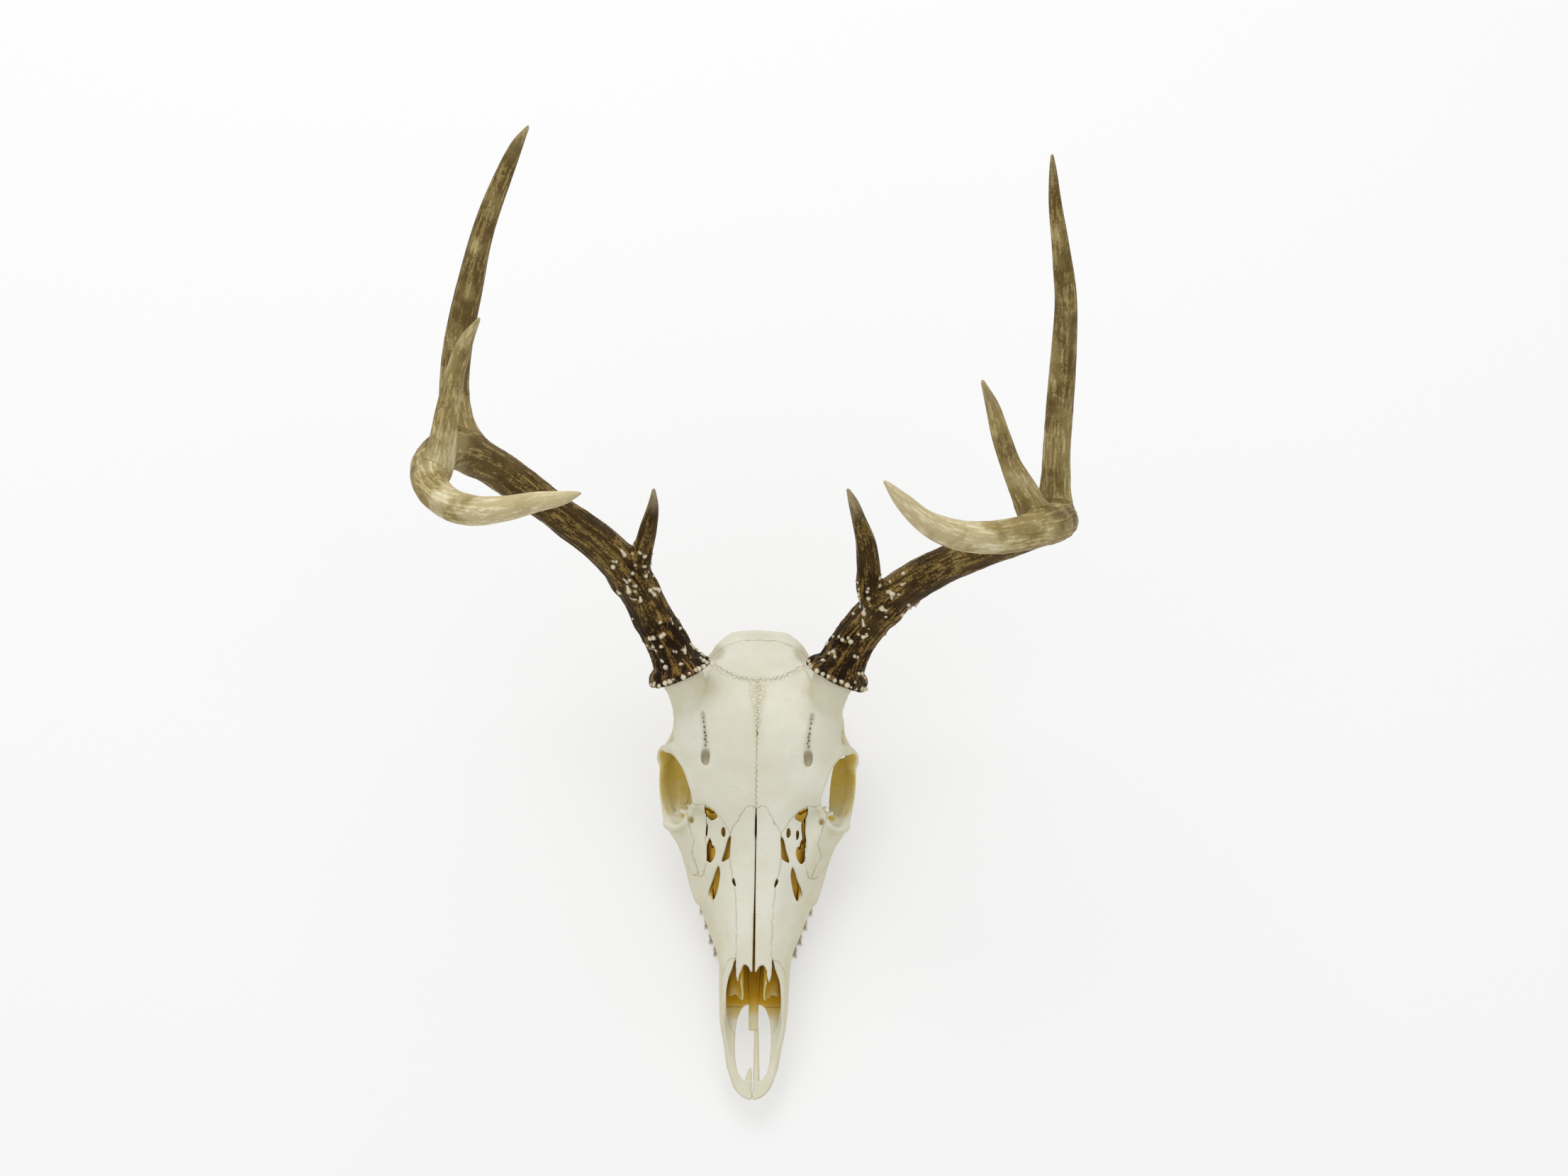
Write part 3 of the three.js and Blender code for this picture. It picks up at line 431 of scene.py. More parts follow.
# Openings between nasal, tear bone and upper jaw, seen from above.
GAPS = [
    [[22.3, 156.7], [24.2, 159.4], [27, 161.4], [30, 162.4], [29.8, 160.6], [28.4, 157.9], [25.8, 155.1],
     [24.3, 155.4]],
    [[18.8, 151.4], [19.9, 150], [19.8, 147], [18.7, 145.8], [17.8, 147], [17.9, 150]],
    [[25.9, 144.5], [27, 146.4], [28.3, 143.5], [28.6, 138], [28.1, 134.3], [26.5, 133.2], [24.4, 135.2],
     [23.5, 138.5], [24.4, 141.8], [25.6, 142.4]],
    [[14.6, 146.4], [15.8, 145.4], [17.8, 139], [19.6, 132.8], [17.2, 133.4], [15.3, 134.6], [14.8, 140]],
    [[21.6, 131], [20.6, 127], [21.3, 121.5], [23.2, 115.2], [26.2, 111.3], [27.4, 113.6], [27, 119.5],
     [25, 123.5], [22.8, 129]],
    [[12.5, 123.4], [13.4, 122], [12.5, 119.7], [11.2, 118.4], [11.4, 120.6]],
]
GAP_LOW, GAP_HIGH = 41, 92
for outline in GAPS:
    clay.carve((10, 105, 40), (34, 172, 90), prism(outline, GAP_LOW, GAP_HIGH), 0.5)
PALATE_SLIT = [[5.6, 12.6], [8.4, 16.5], [10, 24], [10.6, 33], [10.2, 43], [8.6, 50], [6.4, 54.6], [4, 56.2],
               [1, 56.4], [-1, 56.4], [-1, 13.6], [2, 12.8], [3.8, 12.2]]
clay.carve((0, 8, -3), (14, 62, 70), prism(PALATE_SLIT, -5, 70), 0.8)


def mirrored(values):
    """Both halves of the skull from its left half."""
    return np.concatenate([values[:0:-1], values], axis=0)


skull = Clay(SKULL_LOW, SKULL_HIGH)
skull.low = np.array([-(clay.size[0] - 1) * GRAIN, SKULL_LOW[1], SKULL_LOW[2]], float)
skull.depth = mirrored(clay.depth)
skull.size = np.array(skull.depth.shape)
hull = mirrored(hull)
# Left and right differ a little, as in any animal: only the left orbit lets light through its floor.
EYE_FLOOR = [(163, -39, 48), (168, -38, 41), (174, -37, 36.5), (182, -37, 35), (192, -39, 37), (200, -41, 41)]
EYE_FLOOR_HALF = 1.3
floor_y, floor_x, floor_z = np.transpose(EYE_FLOOR)
for y in np.arange(164, 200, 3):
    inner, height = np.interp(y, floor_y, floor_x), np.interp(y, floor_y, floor_z)
    skull.rod([[inner + 1, y, height, EYE_FLOOR_HALF], [inner - 8, y, height + 1, EYE_FLOOR_HALF]], 3)
LEFT_GAPS = [
    [[28.2, 157.5], [28.6, 150], [28.8, 141.6], [27.9, 142], [27.2, 147], [26.4, 153.6], [27, 156.6]],
    [[24.1, 150.8], [24.9, 149.6], [24.8, 146.6], [24, 145.2], [23.4, 147], [23.4, 149.6]],
]
RIGHT_GAPS = [[[-28.5, 156.5], [-28.2, 152], [-28.8, 147.5], [-29.3, 148], [-29, 153]]]
for outline in LEFT_GAPS + RIGHT_GAPS:
    x, y = np.mean(outline, axis=0)
    skull.carve((x - 6, y - 12, 40), (x + 6, y + 12, 90), prism(outline, GAP_LOW, GAP_HIGH), 0.4)

# The palate's slender rods lie along the middle; the right one is broken off short.
skull.rod([[2.4, 8, 15.5, 2.0], [2.1, 28, 16, 1.6], [1.9, 42.5, 17, 1.3]], 0.8)
skull.rod([[-2.6, 8, 15.5, 2.0], [-1.9, 15, 15.9, 1.6], [-1.2, 19.5, 16, 0.6]], 0.8)

# ------------------------------------------------------------------ Bone
# Clean bleached bone: chalky ivory outside, with fine pores, faint cracks and darker lines where two bones
# meet. It is painted darker and warmer where it is thin or hollow, partly stain and partly painted shade,
# and painted shade also marks slopes that face sideways, the temples and the slits. One finish serves every
# bone.
IVORY, CHALK, YOLK = (0.70, 0.68, 0.55), (0.77, 0.755, 0.64), (0.66, 0.61, 0.40)
# The amber colours stand partly for stain in the bone and partly for painted shade in its hollows.
AMBER_AND_SHADE, DEEP_AMBER_SHADE, SEAM_TAN = (0.62, 0.44, 0.065), (0.66, 0.37, 0.003), (0.46, 0.37, 0.19)
# The grey and the dark brown are painted shade.
SHADE_GREY, SHADE_BROWN = (0.46, 0.415, 0.28), (0.075, 0.045, 0.016)


class Recipe:
    """A finish in the making: each step adds a node and gives back what comes out of it."""

    def __init__(self, name, roughness, specular):
        self.material = bpy.data.materials.new(name)
        self.material.use_nodes = True
        self.nodes, self.links = self.material.node_tree.nodes, self.material.node_tree.links
        self.surface = self.nodes["Principled BSDF"]
        self.surface.inputs["Roughness"].default_value = roughness
        self.surface.inputs["Specular IOR Level"].default_value = specular
        self.place = self.nodes.new("ShaderNodeTexCoord").outputs["Object"]

    def fill(self, socket, value):
        if isinstance(value, bpy.types.NodeSocket):
            self.links.new(value, socket)
        elif isinstance(value, tuple) and len(value) == 3 and socket.type == "RGBA":
            socket.default_value = (*value, 1)
        else:
            socket.default_value = value

    def painted(self, name, outlet="Fac"):
        node = self.nodes.new("ShaderNodeAttribute")
        node.attribute_name = name
        return node.outputs[outlet]

    def clouds(self, size, detail=3, roughness=0.55, place=None, twist=0):
        node = self.nodes.new("ShaderNodeTexNoise")
        self.fill(node.inputs["Vector"], place or self.place)
        node.inputs["Scale"].default_value = 1 / (size * MM)
        node.inputs["Detail"].default_value = detail
        node.inputs["Roughness"].default_value = roughness
        node.inputs["Distortion"].default_value = twist
        return node.outputs["Fac"]

    def cells(self, size, feature="F1", place=None):
        node = self.nodes.new("ShaderNodeTexVoronoi")
        node.feature = feature
        self.fill(node.inputs["Vector"], place or self.place)
        node.inputs["Scale"].default_value = 1 / (size * MM)
        return node.outputs["Distance"]

    def swayed(self, size, reach):
        """The place, pushed about so that straight lines wander."""
        node = self.nodes.new("ShaderNodeTexNoise")
        self.links.new(self.place, node.inputs["Vector"])
        node.inputs["Scale"].default_value = 1 / (size * MM)
        push = self.nodes.new("ShaderNodeVectorMath")
        push.operation = "MULTIPLY_ADD"
        self.links.new(node.outputs["Color"], push.inputs[0])
        push.inputs[1].default_value = (reach * MM, reach * MM, reach * MM)
        self.links.new(self.place, push.inputs[2])
        return push.outputs[0]

    def ramp(self, value, low, high, start=0.0, end=1.0):
        node = self.nodes.new("ShaderNodeMapRange")
        node.interpolation_type = "SMOOTHSTEP"
        self.fill(node.inputs["Value"], value)
        for name, number in (("From Min", low), ("From Max", high), ("To Min", start), ("To Max", end)):
            node.inputs[name].default_value = number
        return node.outputs["Result"]

    def sum(self, way, first, second):
        node = self.nodes.new("ShaderNodeMath")
        node.operation = way
        self.fill(node.inputs[0], first)
        self.fill(node.inputs[1], second)
        return node.outputs[0]

    def mix(self, share, first, second, way="MIX"):
        node = self.nodes.new("ShaderNodeMix")
        node.data_type = "RGBA"
        node.blend_type = way
        self.fill(node.inputs["Factor"], share)
        self.fill(node.inputs[6], first)
        self.fill(node.inputs[7], second)
        return node.outputs[2]

    def bump(self, height, depth, strength=1.0, under=None):
        node = self.nodes.new("ShaderNodeBump")
        node.inputs["Strength"].default_value = strength
        node.inputs["Distance"].default_value = depth * MM
        self.fill(node.inputs["Height"], height)
        if under is not None:
            self.links.new(under, node.inputs["Normal"])
        return node.outputs["Normal"]

    def done(self, colour, roughness=None, normal=None):
        self.fill(self.surface.inputs["Base Color"], colour)
        if roughness is not None:
            self.fill(self.surface.inputs["Roughness"], roughness)
        if normal is not None:
            self.fill(self.surface.inputs["Normal"], normal)
        return self.material


def bone_finish():
    bone = Recipe("bone", 0.55, 0.25)
    wide, middling, fine = bone.clouds(34, 3), bone.clouds(7, 4), bone.clouds(0.9, 3, 0.6)
    colour = bone.mix(bone.ramp(wide, 0.35, 0.65), IVORY, CHALK)
    colour = bone.mix(bone.ramp(middling, 0.55, 0.8, 0, 0.35), colour, YOLK)
    # Yellow from real stain underneath and at the tips, and painted shade on slopes that face sideways.
    stain_and_shade = bone.painted("stain_and_shade")
    colour = bone.mix(bone.sum("MULTIPLY", stain_and_shade, bone.ramp(middling, 0.25, 0.7, 0.55, 1.0)), colour, YOLK)
    # Painted shade, grey, in the temple hollows and in the holes over the eyes.
    colour = bone.mix(bone.sum("MULTIPLY", bone.painted("painted_shade"), 0.55), colour, SHADE_GREY)
    # Amber in the nose, orbits and hollows: partly stain, partly painted shade, deepest far inside.
    amber_and_shade = bone.painted("amber_and_shade")
    streaky = bone.ramp(bone.clouds(5, 4, 0.6), 0.3, 0.75, 0.75, 1.1)
    colour = bone.mix(bone.sum("MULTIPLY", bone.ramp(amber_and_shade, 0.0, 0.62), streaky), colour, AMBER_AND_SHADE)
    colour = bone.mix(bone.ramp(amber_and_shade, 0.55, 1.0), colour, DEEP_AMBER_SHADE)
    pores = bone.ramp(bone.cells(1.5), 0.10, 0.22, 1, 0)
    pores = bone.sum("MULTIPLY", pores, bone.ramp(bone.clouds(13, 2), 0.50, 0.68))
    colour = bone.mix(bone.sum("MULTIPLY", pores, 0.35), colour, SEAM_TAN)
    seam = bone.sum("MULTIPLY", bone.painted("seam"), bone.ramp(middling, 0.3, 0.65, 0.05, 0.5))
    colour = bone.mix(seam, colour, SEAM_TAN)
    crinkle = bone.ramp(bone.cells(2.1, "DISTANCE_TO_EDGE", bone.swayed(2.2, 1.6)), 0.02, 0.10, 1, 0)
    crinkle = bone.sum("MULTIPLY", crinkle, bone.painted("knit"))
    colour = bone.mix(bone.sum("MULTIPLY", crinkle, 0.45), colour, (0.52, 0.44, 0.24))
    # Painted deep shade, dark brown, in the slit between the nasal bones and the grooves over the eyes.
    colour = bone.mix(bone.sum("MULTIPLY", bone.painted("deep_shade"), 0.9), colour, SHADE_BROWN)
    rough = bone.ramp(bone.clouds(3, 3), 0.3, 0.7, 0.46, 0.66)
    normal = bone.bump(fine, 0.10, 0.5)
    normal = bone.bump(bone.clouds(3.4, 3, 0.5), 0.35, 0.35, normal)
    normal = bone.bump(bone.sum("MULTIPLY", pores, -1.0), 0.25, 0.6, normal)
    normal = bone.bump(bone.sum("MULTIPLY", crinkle, -1.0), 0.2, 0.6, normal)
    return bone.done(colour, rough, normal)


BONE = bone_finish()


def piece_of(name, points, faces, finish, painted, stands_for=()):
    """A shown piece from points in millimetres, riding on the skull."""
    mesh = bpy.data.meshes.new(name)
    mesh.vertices.add(len(points))
    mesh.vertices.foreach_set("co", ((points + SHIFT) * MM).astype(np.float32).ravel())
    mesh.loops.add(faces.size)
    mesh.loops.foreach_set("vertex_index", faces.astype(np.int32).ravel())
    mesh.polygons.add(len(faces))
    mesh.polygons.foreach_set("loop_start", np.arange(0, faces.size, faces.shape[1], dtype=np.int32))
    mesh.update(calc_edges=True)
    mesh.shade_smooth()
    for label, values in painted.items():
        kind = "FLOAT" if values.ndim == 1 else "FLOAT_VECTOR"
        key = "value" if values.ndim == 1 else "vector"
        mesh.attributes.new(label, kind, "POINT").data.foreach_set(key, values.astype(np.float32).ravel())
    mesh.materials.append(finish)
    piece = bpy.data.objects.new(name, mesh)
    bpy.context.scene.collection.objects.link(piece)
    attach(piece, "root")
    if stands_for:
        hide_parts(*stands_for)
    return piece


def faces_of(depth, low, step):
    """The surface of a form as points and quads, without loose crumbs."""
    grid = openvdb.FloatGrid(3.0)
    grid.copyFromArray(np.clip(depth, -3, 3))
    points, quads = grid.convertToQuads(0.0)
    label = np.arange(len(points))
    while True:
        lowest = label[quads].min(axis=1)
        fresh = label.copy()
        np.minimum.at(fresh, quads.ravel(), np.repeat(lowest, 4))
        fresh = fresh[fresh]
        fresh = fresh[fresh]
        if np.array_equal(fresh, label):
            break
        label = fresh
    names, counts = np.unique(label, return_counts=True)
    kept = np.isin(label, names[counts > max(400, 0.04 * counts.max())])
    number = np.cumsum(kept) - 1
    return points[kept] * step + low, number[quads[kept[quads[:, 0]]]]


def eased(value, low, high):
    """0 at low and 1 at high, with soft ends."""
    t = np.clip((value - low) / (high - low), 0, 1)
    return t * t * (3 - 2 * t)


# Where the bone is painted warm and dark: the nose, the throat, the orbits and every hollow, partly stain
# and partly painted shade; with painted shade also on slopes that face sideways, in the temples and in slits
# and grooves.
def shades(points, gap_edge):
    x, y, z = np.abs(points[:, 0]), points[:, 1], points[:, 2]
    inside = -skull.at(points, hull)
    rise = (skull.at(points + (0, 0, 1.8), hull) - skull.at(points - (0, 0, 1.8), hull)) / 3.6
    turn = np.sign(points[:, :1]) * np.array([1.2, 0, 0])
    outward = (skull.at(points + turn) - skull.at(points - turn)) / 2.4
    upward = (skull.at(points + (0, 0, 1.2)) - skull.at(points - (0, 0, 1.2))) / 2.4
    brow_hole = eased(np.hypot(x - 30.2, (y - 197) / 5), 4.4, 3) * (z > 82)
    # Hollows inside the outer form get painted shade in warm amber.
    hollow_shade = eased(inside, 0.9, 3.0) * (1 - 0.4 * brow_hole) * eased(y, 42, 56)
    gland = np.sqrt(((x - 33.5) / 7.4) ** 2 + ((y - 147) / 16) ** 2 + ((z - 66.5) / 7.4) ** 2)
    outer = np.minimum(eased(gland, 0.95, 1.15), 1 - brow_hole)
    hollow_shade = hollow_shade * outer * (1 - 0.45 * eased(y, 164, 172)) * (1 - 0.6 * eased(y, 193, 203))
    hollow_shade = hollow_shade * eased(y, 242, 234)
    # The nose passage, the temple fossa and the nose floor are painted amber too, partly stain and partly
    # painted shade.
    nose = eased(inside, 1.3, 3.2) * eased(y, 47, 60) * eased(y, 182, 168) * outer * eased(x, 37, 33)
    nose = nose * (1 - eased(y, 162, 166) * eased(x, 26, 29))
    rim = 0.5 + 0.25 * eased(y, 172, 182)
    # The orbit's cup is painted amber, partly stain and partly painted shade.
    cup = eased(outward, rim, rim - 0.6) * eased(upward, -0.6, 0.0) * eased(y, 160, 176) * eased(y, 205, 198)
    cup_top = 79 - 5 * eased(y, 186, 194)
    cup = cup * (z > 33) * (x > 24) * eased(z, cup_top, cup_top - 4)
    fossa = eased(np.sqrt(((x - 42) / 14) ** 2 + ((y - 210) / 16) ** 2 + ((z - 52) / 22) ** 2), 1.1, 0.5)
    floor = eased(y, 49, 59) * eased(x, 19, 16.5) * eased(z, 36, 29) * (y < 90) * (z > 18.6)
    depth_of_cup = 0.40 + 0.2 * eased(y, 172, 192)
    amber_and_shade = np.maximum.reduce([0.56 * hollow_shade, nose, depth_of_cup * cup, 0.22 * fossa, 0.9 * floor])
    # The slit between the nasal bones is painted dark as shade seen into the nose.
    slit = eased(x, 2.2, 1.2) * eased(inside, 0.3, 1.5) * eased(y, 72, 76) * eased(y, 163, 161) * (z > 40)
    amber_and_shade = np.maximum(amber_and_shade * (1 - eased(z, 60, 40) * eased(y, 225, 245)), 0.62 * slit)
    under = eased(z, 24, 12) * 0.5
    tips = eased(y, 34, 10) * 0.5
    # Painted shade: slopes that face sideways are yellowed as if less lit.
    flank = 0.85 * eased(rise, 0.85, 0.15)
    parted = eased(np.hypot(x, (y - 222) / 4.5), 7, 3) * eased(z, 85, 90)
    stain_and_shade = np.maximum.reduce([under, tips, flank, 0.3 * parted, 0.4 * eased(y, 60, 45) * (x < 21)])
    # Painted shade: grey in the temple hollows and in the holes over the eyes.
    temple_shade = 1.3 * eased(np.hypot((x - 25.5) / 7, (y - 255) / 9), 1.0, 0.4) * (z > 55)
    painted_shade = np.maximum(temple_shade, 1.5 * brow_hole * eased(inside, 0.45, 1.8) * (1 - 0.7 * eased(y, 191, 194)))
    # Painted shade: dark in the groove and pits behind each brow hole.
    groove = brow_hole * eased(inside, 1.0, 1.8) * eased(np.abs(x - 30.2), 1.2, 0.7) * eased(y, 192.4, 193.6)
    deep_shade = np.maximum(0.4 * groove, slit)
    widening = eased(y, 205, 232)
    middle_zone = eased(x, 3.0 + 4.0 * widening, 1.8 + 3.0 * widening)
    middle_zone = middle_zone * eased(y, 198, 207) * eased(y, 238, 234)
    crown_zone = eased(np.abs(y - 233.7 - 0.0135 * x * x), 3.2, 1.6) * (x < 27)
    knit = np.maximum(middle_zone, crown_zone) * (z > 80)
    seam = np.exp(-np.maximum(gap_edge, 0) / 0.3) * (1 - 0.9 * knit) * (1 - amber_and_shade)
    return {"amber_and_shade": np.clip(amber_and_shade, 0, 1), "stain_and_shade": stain_and_shade, "painted_shade": painted_shade, "deep_shade": deep_shade, "seam": seam,
            "knit": knit}


taken = np.full(skull.size, 30.0, np.float32)    # distance to the bones already parted
SEAM_HALF = -0.07                                # the plates bed into each other by a hair
UNEVENNESS = 0.16


def part_bone(name, low, high, region, stands_for=()):
    """Parts one bone from the skull: what lies inside its region and in no bone before it."""
    window, x, y, z = skull.window(low, high)
    own = np.broadcast_to(region(x, y, z), skull.depth[window].shape).astype(np.float32)
    edge = np.maximum(own, -taken[window])
    depth = np.maximum(skull.depth[window], edge + SEAM_HALF)
    start = skull.low + np.array([side.start for side in window]) * GRAIN
    points, quads = faces_of(np.pad(depth, 1, constant_values=3.0), start - GRAIN, GRAIN)
    block = Clay(start, start + 1, GRAIN)
    block.size, block.depth = np.array(edge.shape), -edge
    gap_edge = block.at(points) - SEAM_HALF
    u, v, w = points.T
    normal = np.stack([uneven(u, v, w, size, seed) for size, seed in ((6, 1), (9, 2), (14, 3))], axis=1)
    points = points + UNEVENNESS * normal * eased(gap_edge, 0.2, 2.0)[:, None]
    np.minimum(taken[window], own, out=taken[window])
    painted = shades(points, gap_edge)
    return piece_of(name, points, quads, BONE, painted, stands_for)


def meander(u, v, reach, size, seed):
    """How far a seam wanders at each place."""
    flat = np.zeros(1)
    return reach * uneven(u, v, flat, size, seed) + 0.5 * reach * uneven(u, v, flat, size * 0.45, seed + 1)


# ------------------------------------------------------------------ Nasal bones
# Two long thin plates roof the nose. Each ends in front in two points with a notch between, and
# they don't quite meet along the middle. Behind, they run into the brow in a rounded tongue.
NASAL_OUTLINE = [[0, 71.1], [1.7, 71.1], [3.0, 73.6], [5.3, 74.9], [7.4, 72.0], [9.1, 65.7], [10.2, 71],
                 [10.3, 97], [11.9, 118.6], [14.2, 129], [15.2, 137.4], [14.7, 146.4], [13.0, 151],
                 [9.8, 155], [6.6, 160.4], [4, 161.9], [1.6, 161.4], [0, 159.8]]


def nasal_slit(y):
    """Half the width of the slit between the nasal bones."""
    return 0.2 + 0.36 * eased(y, 143, 148) * eased(y, 161, 154) + 0.5 * eased(y, 137, 76)


def nasal_region(side):
    edge = bent(NASAL_OUTLINE, 3, closed=True)

    def region(x, y, z):
        shift = meander(x, y, 0.35, 3, 4)
        depth = np.maximum(flat_depth(side * x + shift, y + shift, edge), 36 - z)
        return np.maximum(depth, nasal_slit(y) - SEAM_HALF - side * x + 0.12 * uneven(y, 0, 0, 9, 6))
    return region


SIDES = {"left": 1, "right": -1}


def span(side, near, far, y0, y1, z0, z1):
    """The corners of a space on one side of the skull."""
    ends = sorted((side * near, side * far))
    return (ends[0], y0, z0), (ends[1], y1, z1)


for name, side in SIDES.items():
    part_bone(f"nasal_bone_{name}", *span(side, -1, 18, 60, 166, 34, 90), nasal_region(side),
              [f"nasal_{name}"])

# In front of and under the nasals the nose is open from above.
TROUGH = [[0, 37], [9, 38], [13, 42], [15.2, 49], [15.9, 58], [15.0, 66], [12.4, 73], [10.4, 78], [0, 79]]
TROUGH += [[-x, y] for x, y in reversed(TROUGH[1:-1])]
skull.carve((-18, 30, PASSAGE_FLOOR - 3), (18, 84, 70), prism(TROUGH, PASSAGE_FLOOR, 75), 1.5)

# ------------------------------------------------------------------ Cheekbones and tear bones
# The cheekbone makes the lower rim of the orbit and sends a bar up behind it; the tear bone lies
# before the eye, with the hook and the tear holes. Both meet the upper jaw in a wandering seam.
CHEEK_OUTLINE = [[41.5, 170.5], [41, 163], [38.6, 152], [36.6, 146], [38, 140], [34.6, 133], [33.2, 127],
                 [36, 124.5], [75, 124.5], [75, 213], [53, 212], [44, 203], [42, 190], [41, 178]]
CHEEK_SIDE = [[120, 80], [122, 50], [130, 37], [142, 31], [156, 27], [172, 22], [230, 22], [216, 54],
              [190, 62], [172, 66], [170, 80]]
BAR_SIDE = [[188, 50], [214, 50], [210, 66], [206, 71], [186, 69]]
TEAR_OUTLINE = [[29.6, 163.4], [28.8, 156], [29.2, 144], [28.6, 133], [31, 127], [33.4, 127], [60, 127],
                [60, 172], [44, 171], [39.6, 166.6], [36, 164], [32, 163.2]]


def cheek_region(side):
    top, flank = np.array(CHEEK_OUTLINE), np.array(CHEEK_SIDE)
    bar = np.array(BAR_SIDE)

    def region(x, y, z):
        shift = meander(x, y, 0.9, 5, 11 + side)
        tilt = meander(z, y, 0.8, 4, 17 + side)
        main = np.maximum(flat_depth(side * x + shift, y + shift, top), flat_depth(y + tilt, z + tilt, flank))
        post = np.maximum(flat_depth(y + tilt, z + tilt, bar), 40 - side * x)
        return np.minimum(main, post)
    return region


def tear_region(side):
    top = np.array(TEAR_OUTLINE)

    def region(x, y, z):
        shift = meander(x, y, 0.7, 4, 21 + side)
        return np.maximum(flat_depth(side * x + shift, y - shift, top), 42 - z)
    return region


for name, side in SIDES.items():
    part_bone(f"cheek_bone_{name}", *span(side, 30, 66, 118, 236, 18, 84), cheek_region(side),
              [f"cheekbone_{name}"])
    part_bone(f"tear_bone_{name}", *span(side, 24, 60, 122, 176, 38, 90), tear_region(side))

# ------------------------------------------------------------------ Frontal bones
# Two broad plates make the brow, the roof of the orbits and the stumps that carry the antlers. They
# meet in a fine wandering line that turns into deep interlocked folds towards the back.
FRONTAL_OUTLINE = [[0, 159], [4, 161.7], [9.6, 154.8], [14.6, 147.4], [19.8, 155], [24.5, 160], [29.6, 163.4],
                   [32, 163.2], [36, 164], [39.6, 166.6], [44, 170], [66, 172], [66, 246], [26, 245.4],
                   [20.5, 241], [14.3, 236.3], [6, 234], [0, 233.3]]
FRONTAL_FOOT = 57.5


def fold_reach(y):
    """How far the middle seam swings to each side."""
    return (0.5 + 0.8 * eased(y, 200, 212) + 0.7 * eased(y, 212, 228)) * eased(y, 233.5, 229)


def middle_seam(y):
    """The middle seam of the brow at each y, as an offset from the middle."""
    folds = np.sin(y * 2 * math.pi / 2.9 + 1.3 * uneven(y, 0, 0, 5, 31))
    return fold_reach(y) * np.clip(1.5 * folds * (0.75 + 0.4 * uneven(y, 0, 0, 4, 33)), -1.2, 1.2)


def frontal_region(side):
    edge = np.array(FRONTAL_OUTLINE)

    def region(x, y, z):
        back = eased(y, 225, 232)
        shift = meander(x, y, 0.35, 3, 41)
        folds = back * np.sin(x * 2 * math.pi / 3.1 + 3 * uneven(x, y, 0, 5, 43))
        depth = flat_depth(np.abs(x) + shift * 0.6, y + shift + folds, edge)
        seam = (middle_seam(y) - x) * side
        steep = np.sqrt(1 + np.gradient(middle_seam(y), axis=1) ** 2 / GRAIN**2)
        return np.maximum(np.maximum(depth, seam / steep), FRONTAL_FOOT + meander(x, y, 1.4, 9, 45) - z)
    return region


for name, side in SIDES.items():
    part_bone(f"frontal_bone_{name}", *span(side, -8, 66, 144, 250, 56, 121), frontal_region(side),
              [f"frontal_{name}"])

# ------------------------------------------------------------------ Premaxillae
# Two slender toothless prongs at the tip of the snout, rounded in front and parted along the middle.
# Each runs back along the side of the nose opening and is thin enough to let light through.
PREMAXILLA_SIDE = [[-5, -5], [50, -5], [53, 12], [55.6, 19.8], [60, 24], [68, 32.5], [78, 44], [79.6, 60],
                   [-5, 60]]
MUZZLE = [[0.6, 1.6], [4.4, 2.5], [8.8, 5.6], [11.5, 10], [14, 17], [20, 30], [30, 60], [30, 90], [0.35, 90],
          [0.3, 20], [0.5, 9]]


def premaxilla_region(side):
    flank, top = np.array(PREMAXILLA_SIDE), bent(MUZZLE, 4, closed=True)

    def region(x, y, z):
        tilt = meander(z, y, 0.7, 3, 51 + side)
        return np.maximum(flat_depth(y + tilt, z, flank), flat_depth(side * x, y, top))
    return region


for name, side in SIDES.items():
    part_bone(f"premaxilla_bone_{name}", *span(side, -1, 24, 0, 84, 10, 56), premaxilla_region(side),
              [f"premaxilla_{name}"])

# ------------------------------------------------------------------ Upper jaws
# The maxilla makes the side of the face and most of the palate, and holds the cheek teeth. It is
# thin over the nose and thick along the tooth row.
MAXILLA_FRONT, MAXILLA_BACK = 40, 163


def maxilla_region(side):
    def region(x, y, z):
        wander = meander(x, z, 0.5, 4, 61)
        return np.maximum(np.maximum(y - MAXILLA_BACK + wander, MAXILLA_FRONT - y), -side * x)
    return region


for name, side in SIDES.items():
    part_bone(f"upper_jaw_{name}", *span(side, -1, 56, 38, 168, 8, 84), maxilla_region(side),
              [f"maxilla_{name}"])

# ------------------------------------------------------------------ Braincase
# The back of the skull: parietals, temples, ear bubbles, nape and base, grown together. Two
# processes behind the ears reach the ground, and two rounded knobs carried the neck.
CROWN_OUTLINE = [[0, 224], [14, 225], [27, 236], [30.5, 247], [28, 254], [21, 259.4], [10, 262.4], [0, 263.2]]
CROWN_OUTLINE += [[-x, y] for x, y in reversed(CROWN_OUTLINE[1:-1])]
CROWN_FOOT, NAPE_SEAM, CASE_FRONT = 64, 243.5, 155


def crown_region(x, y, z):
    shift = meander(x, y, 0.5, 3, 63)
    return np.maximum(flat_depth(x + shift, y + shift, np.array(CROWN_OUTLINE, float)), CROWN_FOOT - z)


def nape_region(x, y, z):
    return NAPE_SEAM - y + meander(x, z, 0.8, 4, 65)


def case_region(x, y, z):
    return CASE_FRONT - y


part_bone("parietal_bone", (-36, 226, 60), (36, 267, 116), crown_region)
part_bone("occipital_bone", (-62, 240, -2), (62, 277, 116), nape_region)
part_bone("brain_case", (-62, 156, -2), (62, 277, 116), case_region, ["braincase"])

# ------------------------------------------------------------------ Inner bones of the nose
# Behind the openings of the face lie thin rolled bones, warm brown partly in their own colour and partly
# as painted shade, and two loose curled sheets show in the nose opening. The vomer is a narrow gutter
# along the middle of the nose's floor.
SCROLL_DEPTH = 4.6


